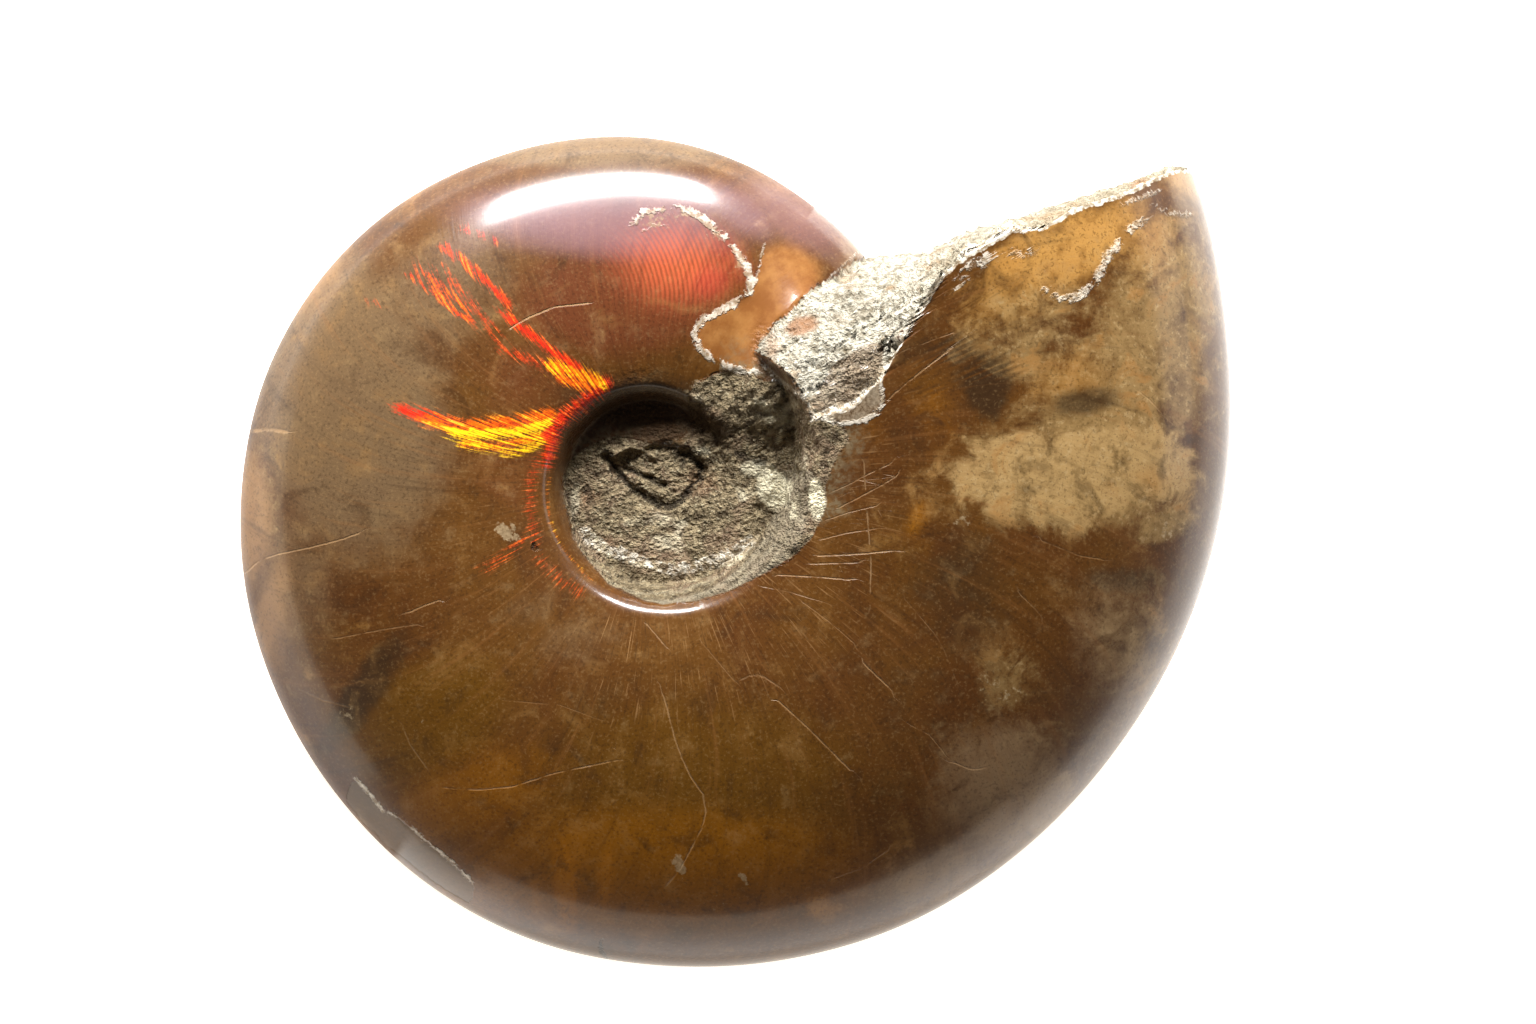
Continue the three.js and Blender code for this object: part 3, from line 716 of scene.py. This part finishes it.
for key, val in (("nacre_d", NACRE_D), ("flake_d", FLAKE_D), ("chip_d", CHIP_D), ("tan_d", TAN_D), ("flap_d", FLAP_D), ("flash", FLASH), ("hue", HUE),
                 ("fan", FAN), ("fan_r", FAN_R), ("pink", PINK), ("spots", SPOTS), ("rho", RHO)):
    attribute(key, np.asarray(val) * np.ones(len(PX)))
EDGE_D = np.where((CO[:, 0] > 100) & (ANG < 90), (EX["t"] - 1.0) * np.interp(CO[:, 0], FACE_DEPTH[:, 0], FACE_DEPTH[:, 1]),
                  np.where(ANG > 270, 60.0, -60.0))
attribute("edge_d", np.clip(EDGE_D, -60, 60))
attribute("edge_w", sstep(140, 158, CO[:, 0]) * (ANG < 90))
for group in LINE_SETS.values():
    for dn, wn, d, w in group:
        attribute(dn, d)
        attribute(wn, w)
attribute("worn", sstep(0.88, 0.98, RHO) * np.where((ANG > 60) & (ANG < 235), 1.0, 0.35) * (EX["rock"] < 0.5))


# ------------------------------------------------------------------------------------------------
# Material
# ------------------------------------------------------------------------------------------------
def lin(r, g, b):
    f = lambda c: c / 255 / 12.92 if c / 255 <= 0.04045 else ((c / 255 + 0.055) / 1.055) ** 2.4
    return (f(r), f(g), f(b), 1.0)


mat = bpy.data.materials.new("fossil")
mat.use_nodes = True
nt = mat.node_tree
bs = nt.nodes["Principled BSDF"]


def put(socket, value):
    if isinstance(value, bpy.types.NodeSocket):
        nt.links.new(value, socket)
    else:
        socket.default_value = value


def attr(name, vector=False):
    n = nt.nodes.new("ShaderNodeAttribute")
    n.attribute_name = name
    return n.outputs["Vector" if vector else "Fac"]


def m(op, a, b=0.0, c=0.0, clamp=False):
    n = nt.nodes.new("ShaderNodeMath")
    n.operation = op
    n.use_clamp = clamp
    put(n.inputs[0], a)
    put(n.inputs[1], b)
    put(n.inputs[2], c)
    return n.outputs[0]


def vm(op, a, b):
    n = nt.nodes.new("ShaderNodeVectorMath")
    n.operation = op
    put(n.inputs[0], a)
    put(n.inputs[1], b)
    return n.outputs[0]


def ramp01(v, lo, hi, out0=0.0, out1=1.0):
    n = nt.nodes.new("ShaderNodeMapRange")
    n.interpolation_type = "SMOOTHSTEP"
    put(n.inputs["Value"], v)
    n.inputs["From Min"].default_value = lo
    n.inputs["From Max"].default_value = hi
    n.inputs["To Min"].default_value = out0
    n.inputs["To Max"].default_value = out1
    return n.outputs["Result"]


def mixc(fac, a, b, blend_type="MIX"):
    n = nt.nodes.new("ShaderNodeMix")
    n.data_type = "RGBA"
    n.blend_type = blend_type
    put(n.inputs["Factor"], fac)
    put(n.inputs[6], a)
    put(n.inputs[7], b)
    return n.outputs[2]


def nz(vec, scale, detail=4.0, rough=0.55, distort=0.0):
    n = nt.nodes.new("ShaderNodeTexNoise")
    put(n.inputs["Vector"], vec)
    n.inputs["Scale"].default_value = scale
    n.inputs["Detail"].default_value = detail
    n.inputs["Roughness"].default_value = rough
    n.inputs["Distortion"].default_value = distort
    return n.outputs["Fac"]


Q = attr("q", True)
G = attr("growth", True)
n_big = nz(Q, 1 / 90.0, 4, 0.6, 0.4)
n_cloud = nz(Q, 1 / 42.0, 5, 0.62, 0.8)
n_mid = nz(Q, 1 / 22.0, 4, 0.62)
n_small = nz(Q, 1 / 7.0, 3, 0.65)
n_dust = nz(Q, 1 / 3.0, 1, 0.6)
n_streak = nz(vm("MULTIPLY", G, (0.55, 0.006, 0.05)), 1.0, 4, 0.65)
n_fine = nz(vm("MULTIPLY", G, (1.25, 0.016, 0.05)), 1.0, 2, 0.8)
mottle = m("ADD", m("MULTIPLY", n_cloud, 0.55), m("ADD", m("MULTIPLY", n_mid, 0.33), m("MULTIPLY", n_small, 0.12)))


def tone(name, gain=1.0, wob=0.9, lo=0.30, hi=0.85):
    v = m("ADD", m("MULTIPLY", attr(name), gain), m("MULTIPLY", m("SUBTRACT", mottle, 0.5), wob))
    return ramp01(v, lo, hi)


def over(col, fac, power, c):
    return mixc(m("MULTIPLY", fac, power), col, c)


col = mixc(ramp01(n_big, 0.3, 0.7), lin(82, 48, 18), lin(92, 58, 20))
col = over(col, tone("olive", 1, 0.8), 0.75, lin(92, 60, 10))
col = over(col, tone("red", 1, 0.7), 0.8, lin(98, 50, 28))
# grey-brown shell tone, partly a painted reflection over the upper left and the top rim
col = over(col, tone("taupe_and_reflection", 1, 0.9), 0.62, lin(112, 93, 68))
col = over(col, tone("amber", 1, 1.6, 0.3, 0.95), 0.85, lin(188, 139, 72))
col = over(col, tone("tan", 1, 2.4, 0.22, 0.85), 0.8, lin(150, 121, 76))
tan_edge = ramp01(m("ADD", attr("tan_d"), m("MULTIPLY", m("SUBTRACT", n_cloud, 0.5), 80.0)), -6.0, 10.0)
col = over(col, tan_edge, 0.6, lin(184, 150, 98))
tan_any = m("MAXIMUM", tone("tan", 1, 2.4, 0.22, 0.85), tan_edge)
col = over(col, m("MULTIPLY", tan_any, ramp01(n_mid, 0.50, 0.34)), 0.45, lin(96, 72, 38))
col = over(col, m("MULTIPLY", tan_any, ramp01(n_cloud, 0.50, 0.36)), 0.35, lin(104, 80, 44))
col = over(col, m("MULTIPLY", tan_any, ramp01(n_small, 0.54, 0.68)), 0.42, lin(186, 158, 112))
col = over(col, m("MULTIPLY", tan_any, ramp01(n_small, 0.46, 0.32)), 0.36, lin(104, 78, 42))
amber_any = tone("amber", 1, 1.6, 0.3, 0.95)
col = over(col, m("MULTIPLY", amber_any, ramp01(n_mid, 0.52, 0.36)), 0.6, lin(116, 76, 30))
col = over(col, m("MULTIPLY", amber_any, ramp01(n_dust, 0.50, 0.34)), 0.22, lin(110, 74, 34))
col = over(col, m("MULTIPLY", tan_any, ramp01(n_cloud, 0.56, 0.68)), 0.4, lin(160, 106, 46))
# painted reflection: pale warm colour along the rims
col = over(col, tone("rim_reflection", 1, 0.9, 0.15, 0.9), 0.8, lin(142, 104, 64))
# dark mottles, and painted shade over the top of the coil's hollow
col = over(col, tone("dark_and_shade", 1.5, 1.8, 0.3, 1.0), 0.75, lin(44, 32, 20))
col = over(col, tone("low", 1, 0.9, 0.3, 1.0), 0.75, lin(134, 82, 8))
# painted reflection: pale haze over the lower right flank
col = over(col, tone("reflection_haze", 1, 1.1, 0.3, 1.0), 0.7, lin(144, 118, 88))
col = over(col, tone("glow", 1.2, 1.4, 0.2, 1.15), 0.7, lin(156, 96, 12))
# clouds, mottling and growth streaks
col = over(col, ramp01(n_cloud, 0.52, 0.74), 0.30, lin(142, 104, 58))
col = over(col, ramp01(n_cloud, 0.47, 0.28), 0.45, lin(46, 29, 15))
col = over(col, ramp01(n_mid, 0.55, 0.75), 0.16, lin(160, 130, 88))
col = over(col, ramp01(n_dust, 0.58, 0.70), 0.17, lin(150, 120, 80))
col = over(col, ramp01(n_dust, 0.44, 0.30), 0.34, lin(40, 24, 10))
col = over(col, ramp01(n_streak, 0.52, 0.78), 0.30, lin(138, 92, 50))
col = over(col, ramp01(n_streak, 0.47, 0.25), 0.34, lin(42, 25, 14))
# the amber window in the nacre
nacre_w = m("ADD", attr("nacre_d"), m("MULTIPLY", m("SUBTRACT", n_mid, 0.5), 6.0))
in_window = m("MULTIPLY", ramp01(nacre_w, -1.2, 1.2), tone("window", 1, 0.8, 0.25, 0.75))
inner_col = mixc(ramp01(n_mid, 0.35, 0.7), lin(136, 84, 40), lin(164, 112, 60))
col = over(col, in_window, 0.8, inner_col)
col = over(col, tone("pale", 1, 0.9, 0.3, 0.9), 0.5, lin(140, 118, 92))
# painted sheen: lilac tint laid into the colour below the top highlight
col = over(col, tone("painted_sheen", 1.0, 0.35, 0.25, 1.1), 0.5, lin(148, 112, 122))
fan_line = m("SINE", m("MULTIPLY", m("ADD", attr("fan_r"), m("MULTIPLY", n_small, 1.2)), 1.35))
fan_f = m("MULTIPLY", m("MULTIPLY", attr("fan"), ramp01(fan_line, -1.0, 0.8, 0.42, 0.98)), m("SUBTRACT", 1.0, in_window))
col = over(col, m("MULTIPLY", fan_f, ramp01(n_streak, 0.25, 0.55, 0.55, 1.0)), 0.66, lin(220, 100, 62))
col = over(col, m("MULTIPLY", attr("pink"), m("SUBTRACT", 1.0, in_window)), 0.32, lin(190, 40, 50))
# flashes, broken into fibres along the growth lines
fibre = m("ADD", m("MULTIPLY", n_fine, 0.8), m("MULTIPLY", n_dust, 0.2))
fl = m("ADD", attr("flash"), m("MULTIPLY", m("SUBTRACT", fibre, 0.5), 4.0))
flash = m("MULTIPLY", ramp01(fl, 0.25, 1.15), ramp01(attr("flash"), 0.04, 0.45))
hue = m("ADD", attr("hue"), m("MULTIPLY", m("SUBTRACT", fibre, 0.5), 3.0))
fc = mixc(ramp01(hue, 0.05, 0.5), lin(226, 34, 18), lin(248, 104, 14))
fc = mixc(ramp01(hue, 0.55, 1.0), fc, lin(255, 208, 24))
fc = over(fc, ramp01(n_streak, 0.55, 0.30), 0.45, lin(150, 20, 8))
fc = over(fc, ramp01(fibre, 0.56, 0.70), 0.35, lin(255, 170, 90))
col = mixc(flash, col, fc)

# the chip on the lower left: a real broken step, with its grey a painted reflection
chip_w = m("ADD", attr("chip_d"), m("MULTIPLY", m("SUBTRACT", n_mid, 0.5), 8.0))
chip_and_reflection = ramp01(chip_w, -1.0, 1.0)
col = over(col, chip_and_reflection, 0.5, lin(104, 90, 70))
spots = ramp01(m("ADD", attr("spots"), m("MULTIPLY", m("SUBTRACT", n_small, 0.5), 1.6)), 0.45, 0.7)


def strokes_of(kind, jitter, soft, lo, hi):
    total = None
    wander = m("MULTIPLY", m("SUBTRACT", n_small, 0.5), jitter)
    broken = ramp01(n_mid, lo, hi)
    for dn, wn, d, w in LINE_SETS[kind]:
        f = m("MULTIPLY", ramp01(m("ABSOLUTE", m("ADD", attr(dn), wander)), soft, 0.25), attr(wn))
        total = f if total is None else m("MAXIMUM", total, f)
    return m("MULTIPLY", total, broken)


lines = strokes_of("scr", 1.4, 1.15, 0.30, 0.52)
col = over(col, lines, 0.62, lin(178, 142, 100))

# fine lines running out from the hollow, and rock dust worked into the shell beside it
col = over(col, m("MULTIPLY", attr("radial"), ramp01(n_fine, 0.60, 0.72)), 0.5, lin(168, 128, 84))
col = over(col, m("MULTIPLY", attr("radial"), ramp01(n_fine, 0.42, 0.30)), 0.4, lin(40, 24, 12))
dust_d = m("ADD", attr("rock_d"), m("MULTIPLY", m("SUBTRACT", mottle, 0.5), 110.0))
col = over(col, m("MULTIPLY", ramp01(dust_d, -30.0, 4.0), ramp01(n_small, 0.40, 0.60, 0.25, 1.0)), 0.8, mixc(n_small, lin(74, 60, 42), lin(136, 120, 92)))

# rock
r_big = n_cloud
r_mid = nz(Q, 1 / 8.0, 3, 0.7)
r_fine = nz(Q, 1 / 3.2, 2, 0.7)
vor = nt.nodes.new("ShaderNodeTexVoronoi")
put(vor.inputs["Vector"], Q)
vor.inputs["Scale"].default_value = 1 / 4.5
vor.feature = "F1"
grains = vor.outputs["Distance"]
rock_col = mixc(ramp01(r_mid, 0.32, 0.66), lin(72, 59, 41), lin(144, 128, 99))
rock_col = over(rock_col, ramp01(r_big, 0.46, 0.66), 0.5, lin(134, 108, 88))
rock_col = over(rock_col, ramp01(r_fine, 0.55, 0.70), 0.52, lin(196, 184, 152))
rock_col = over(rock_col, ramp01(r_fine, 0.42, 0.27), 0.45, lin(46, 37, 25))
rock_col = over(rock_col, tone("wallgrey", 1, 0.8, 0.3, 0.9), 0.55, lin(128, 118, 100))
n_ring = ramp01(m("SINE", m("ADD", m("MULTIPLY", attr("radius"), 0.75), m("MULTIPLY", n_mid, 9.0))), -1.0, 1.0, 0.3, 0.7)
rock_col = over(rock_col, m("MULTIPLY", attr("ring"), ramp01(n_ring, 0.52, 0.68)), 0.22, lin(168, 158, 134))
rock_col = over(rock_col, m("MULTIPLY", attr("ring"), ramp01(n_ring, 0.46, 0.32)), 0.28, lin(70, 58, 42))
rock_col = over(rock_col, tone("bankdark", 1, 1.2, 0.2, 0.9), 0.22, lin(90, 78, 58))
rock_col = over(rock_col, tone("umber", 1, 0.9, 0.2, 0.9), 0.75, lin(132, 92, 64))
# cream bits of the rock, and painted light on the bank beside the lobe
rock_col = over(rock_col, tone("cream_and_lit_patch", 1.1, 2.2, 0.35, 0.85), 0.88, lin(232, 222, 190))
face_col = mixc(ramp01(r_mid, 0.3, 0.62), lin(126, 118, 100), lin(198, 192, 175))
face_col = over(face_col, ramp01(r_fine, 0.42, 0.30), 0.48, lin(70, 58, 40))
face_col = over(face_col, ramp01(n_mid, 0.50, 0.38), 0.5, lin(98, 84, 60))
face_col = over(face_col, ramp01(n_big, 0.46, 0.62), 0.45, lin(120, 112, 96))
face_col = over(face_col, ramp01(n_cloud, 0.56, 0.68), 0.5, lin(146, 122, 92))
face_col = over(face_col, tone("faceshade", 1, 0.8, 0.2, 0.9), 0.5, mixc(r_fine, lin(72, 60, 42), lin(164, 146, 112)))
face_col = over(face_col, tone("umber", 1, 0.9, 0.2, 0.9), 0.8, lin(140, 96, 62))
face_col = over(face_col, ramp01(r_big, 0.55, 0.7), 0.3, lin(150, 120, 88))
rock_col = mixc(attr("face"), rock_col, face_col)
rock_f = ramp01(m("ADD", attr("rock"), m("MULTIPLY", m("SUBTRACT", mottle, 0.5), 1.8)), 0.36, 0.64)
col = mixc(rock_f, col, rock_col)

# the thin clouded flap of shell at the foot of the mouth
flap_f = ramp01(m("ADD", attr("flap_d"), m("MULTIPLY", m("SUBTRACT", n_mid, 0.5), 8.0)), -1.5, 1.5)
flap_col = mixc(ramp01(r_fine, 0.35, 0.65), lin(92, 72, 52), lin(150, 132, 108))
flap_col = over(flap_col, ramp01(n_mid, 0.45, 0.7), 0.5, lin(168, 156, 134))
col = over(col, flap_f, 0.9, flap_col)
rock_f = m("MULTIPLY", rock_f, m("SUBTRACT", 1.0, m("MULTIPLY", flap_f, 0.5)))

# painted shade in the hollow of the coil and beside the mouth's lobe, and painted shade in the open cavities
recess_shade = tone("recess_shade", 1, 0.9, 0.35, 1.0)
col = over(col, recess_shade, 0.85, mixc(r_mid, lin(38, 25, 14), lin(88, 66, 44)))
cav = strokes_of("cav", 6.0, 1.5, 0.30, 0.46)
col = over(col, cav, 0.85, lin(28, 21, 13))

# pale broken shell edges
edges = strokes_of("edg", 3.6, 2.0, 0.34, 0.48)
edges = ramp01(m("ADD", edges, m("MULTIPLY", m("SUBTRACT", n_dust, 0.5), 0.9)), 0.22, 0.85)
edges = m("MULTIPLY", edges, ramp01(strokes_of("edg", 2.0, 2.2, 0.30, 0.42), 0.02, 0.2))
lip_w = m("ABSOLUTE", m("ADD", attr("edge_d"), m("MULTIPLY", m("SUBTRACT", n_mid, 0.5), 10.0)))
lip = ramp01(m("ADD", m("MULTIPLY", attr("edge_w"), ramp01(lip_w, 7.0, 1.0)), m("MULTIPLY", m("MULTIPLY", m("SUBTRACT", n_small, 0.5), 1.6), attr("edge_w"))), 0.35, 0.65)
col = over(col, spots, 0.6, mixc(n_dust, lin(104, 84, 56), lin(196, 174, 138)))
pale_f = m("MAXIMUM", m("MULTIPLY", edges, 0.68), m("MULTIPLY", lip, 0.85))
col = mixc(pale_f, col, mixc(ramp01(n_small, 0.38, 0.62), lin(150, 132, 106), lin(232, 224, 208)))
put(bs.inputs["Base Color"], col)

matte = m("MAXIMUM", rock_f, m("MULTIPLY", recess_shade, 0.8))
rough = m("ADD", 0.34, m("MULTIPLY", matte, 0.5))
rough = m("ADD", rough, m("MULTIPLY", m("MAXIMUM", pale_f, attr("worn")), 0.2))
put(bs.inputs["Roughness"], rough)
keep = m("MULTIPLY", m("SUBTRACT", 1.0, matte), m("SUBTRACT", 1.0, m("MULTIPLY", pale_f, 0.6)))
put(bs.inputs["Coat Weight"], m("MULTIPLY", keep, m("SUBTRACT", 1.0, m("MULTIPLY", attr("worn"), 0.9))))
bs.inputs["Coat Roughness"].default_value = 0.15
bs.inputs["Coat IOR"].default_value = 1.5
bs.inputs["IOR"].default_value = 1.5
bs.inputs["Specular IOR Level"].default_value = 0.18

# relief
hgt = m("ADD", m("ADD", m("MULTIPLY", r_mid, 3.4), m("MULTIPLY", r_fine, 3.2)), m("ADD", m("MULTIPLY", grains, -1.6), -2.6))
hgt = m("MULTIPLY", hgt, m("MAXIMUM", ramp01(attr("rock"), 0.15, 0.5), m("MULTIPLY", attr("recess_shade"), 0.6)))
hgt = m("ADD", hgt, m("MULTIPLY", n_fine, 0.11))
hgt = m("ADD", hgt, m("MULTIPLY", n_small, 0.07))
hgt = m("ADD", hgt, m("MULTIPLY", n_dust, 0.03))
hgt = m("ADD", hgt, m("MULTIPLY", chip_and_reflection, -0.6))
hgt = m("ADD", hgt, m("MULTIPLY", lines, -0.4))
hgt = m("ADD", hgt, m("MULTIPLY", cav, -2.0))
hgt = m("ADD", hgt, m("MULTIPLY", edges, 0.5))
bump = nt.nodes.new("ShaderNodeBump")
bump.inputs["Strength"].default_value = 1.0
bump.inputs["Distance"].default_value = 0.00022
put(bump.inputs["Height"], hgt)
nt.links.new(bump.outputs["Normal"], bs.inputs["Normal"])
fossil.data.materials.append(mat)

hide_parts("ammonite")
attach(fossil, "root")

# ------------------------------------------------------------------------------------------------
# Floor, light and camera
# ------------------------------------------------------------------------------------------------
floor_mesh = bpy.data.meshes.new("floor")
floor_mesh.from_pydata([(-2, -2, 0), (2, -2, 0), (2, 2, 0), (-2, 2, 0)], [], [(0, 1, 2, 3)])
floor = bpy.data.objects.new("floor", floor_mesh)
bpy.context.collection.objects.link(floor)
fm = bpy.data.materials.new("floor")
fm.use_nodes = True
fb = fm.node_tree.nodes["Principled BSDF"]
fb.inputs["Base Color"].default_value = (0.92, 0.92, 0.92, 1)
fb.inputs["Roughness"].default_value = 0.9
fb.inputs["Emission Color"].default_value = (1, 0.93, 0.82, 1)
fb.inputs["Emission Strength"].default_value = 1.12
floor_mesh.materials.append(fm)

world = bpy.data.worlds.new("world")
bpy.context.scene.world = world
world.use_nodes = True
sky = world.node_tree
back = sky.nodes["Background"]
where = sky.nodes.new("ShaderNodeTexCoord")
parts = sky.nodes.new("ShaderNodeSeparateXYZ")
ramp = sky.nodes.new("ShaderNodeValToRGB")
ramp.color_ramp.elements[0].position = 0.0
ramp.color_ramp.elements[0].color = (1.0, 1.0, 1.0, 1)
ramp.color_ramp.elements[1].position = 0.75
ramp.color_ramp.elements[1].color = (0.03, 0.03, 0.03, 1)
for place, grey in ((0.12, 0.52), (0.30, 0.24)):
    stop = ramp.color_ramp.elements.new(place)
    stop.color = (grey, grey * 0.92, grey * 0.82, 1)
sky.links.new(where.outputs["Generated"], parts.inputs[0])
sky.links.new(parts.outputs["Z"], ramp.inputs["Fac"])
dim = sky.nodes.new("ShaderNodeMapRange")
dim.interpolation_type = "SMOOTHSTEP"
dim.inputs["From Min"].default_value = -0.85
dim.inputs["From Max"].default_value = -0.35
dim.inputs["To Min"].default_value = 0.5
dim.inputs["To Max"].default_value = 1.0
sky.links.new(parts.outputs["Y"], dim.inputs["Value"])
far_dim = sky.nodes.new("ShaderNodeMapRange")
far_dim.interpolation_type = "SMOOTHSTEP"
far_dim.inputs["From Min"].default_value = 0.25
far_dim.inputs["From Max"].default_value = 0.9
far_dim.inputs["To Min"].default_value = 1.0
far_dim.inputs["To Max"].default_value = 0.7
sky.links.new(parts.outputs["Y"], far_dim.inputs["Value"])
both = sky.nodes.new("ShaderNodeMath")
both.operation = "MULTIPLY"
sky.links.new(dim.outputs["Result"], both.inputs[0])
sky.links.new(far_dim.outputs["Result"], both.inputs[1])
tint = sky.nodes.new("ShaderNodeMix")
tint.data_type = "RGBA"
tint.blend_type = "MULTIPLY"
tint.inputs["Factor"].default_value = 1.0
sky.links.new(ramp.outputs["Color"], tint.inputs[6])
sky.links.new(both.outputs[0], tint.inputs[7])
sky.links.new(tint.outputs[2], back.inputs["Color"])
back.inputs["Strength"].default_value = 1.0

AXIS = (TO_WORLD.to_3x3() @ Vector((0, 0, 1))).normalized()
UP = (TO_WORLD.to_3x3() @ Vector((0, 1, 0))).normalized()
RIGHT = (TO_WORLD.to_3x3() @ Vector((1, 0, 0))).normalized()
TARGET = TO_WORLD @ (Vector((PLAN_MID[0] - CENTRE[0], CENTRE[1] - PLAN_MID[1], 0)) * U)


def area(name, azimuth, elevation, distance, size, power, color=(1, 1, 1), aim=None):
    """A soft box. Azimuth is counter-clockwise from the plan's right, elevation above the plan."""
    a, e = math.radians(azimuth), math.radians(elevation)
    d = RIGHT * math.cos(a) * math.cos(e) + UP * math.sin(a) * math.cos(e) + AXIS * math.sin(e)
    light = bpy.data.lights.new(name, "AREA")
    light.shape = "RECTANGLE"
    light.size, light.size_y = size
    light.energy = power
    light.color = color
    ob = bpy.data.objects.new(name, light)
    centre = TARGET if aim is None else aim
    ob.location = centre + d * distance
    ob.rotation_mode = "QUATERNION"
    ob.rotation_quaternion = (-d).to_track_quat("-Z", "Y")
    bpy.context.collection.objects.link(ob)
    return ob


area("key", 93, 28.5, 0.60, (0.38, 0.14), 12.2)
area("front", 275, 7, 0.90, (1.30, 0.40), 1.9, (1.0, 0.86, 0.70))
area("side", 190, 10, 0.90, (0.90, 0.30), 1.2, (1.0, 0.86, 0.68))
area("mouth", 20, 14, 0.90, (0.90, 0.30), 1.0)

cam_data = bpy.data.cameras.new("camera")
cam_data.lens = 85
cam_data.sensor_width = 36
cam_data.clip_start = 0.01
cam_data.clip_end = 20
cam = bpy.data.objects.new("camera", cam_data)
cam.location = TARGET + AXIS * (1536 * U * 85 / 36)
cam.rotation_mode = "QUATERNION"
rot = Matrix((RIGHT, UP, AXIS)).transposed()
cam.rotation_quaternion = rot.to_quaternion()
bpy.context.collection.objects.link(cam)
bpy.context.scene.camera = cam

scene = bpy.context.scene
scene.view_settings.view_transform = "Standard"
scene.view_settings.look = "None"

print("triangles", len(TRIS) + 2 * len(QUADS), "columns", NC)
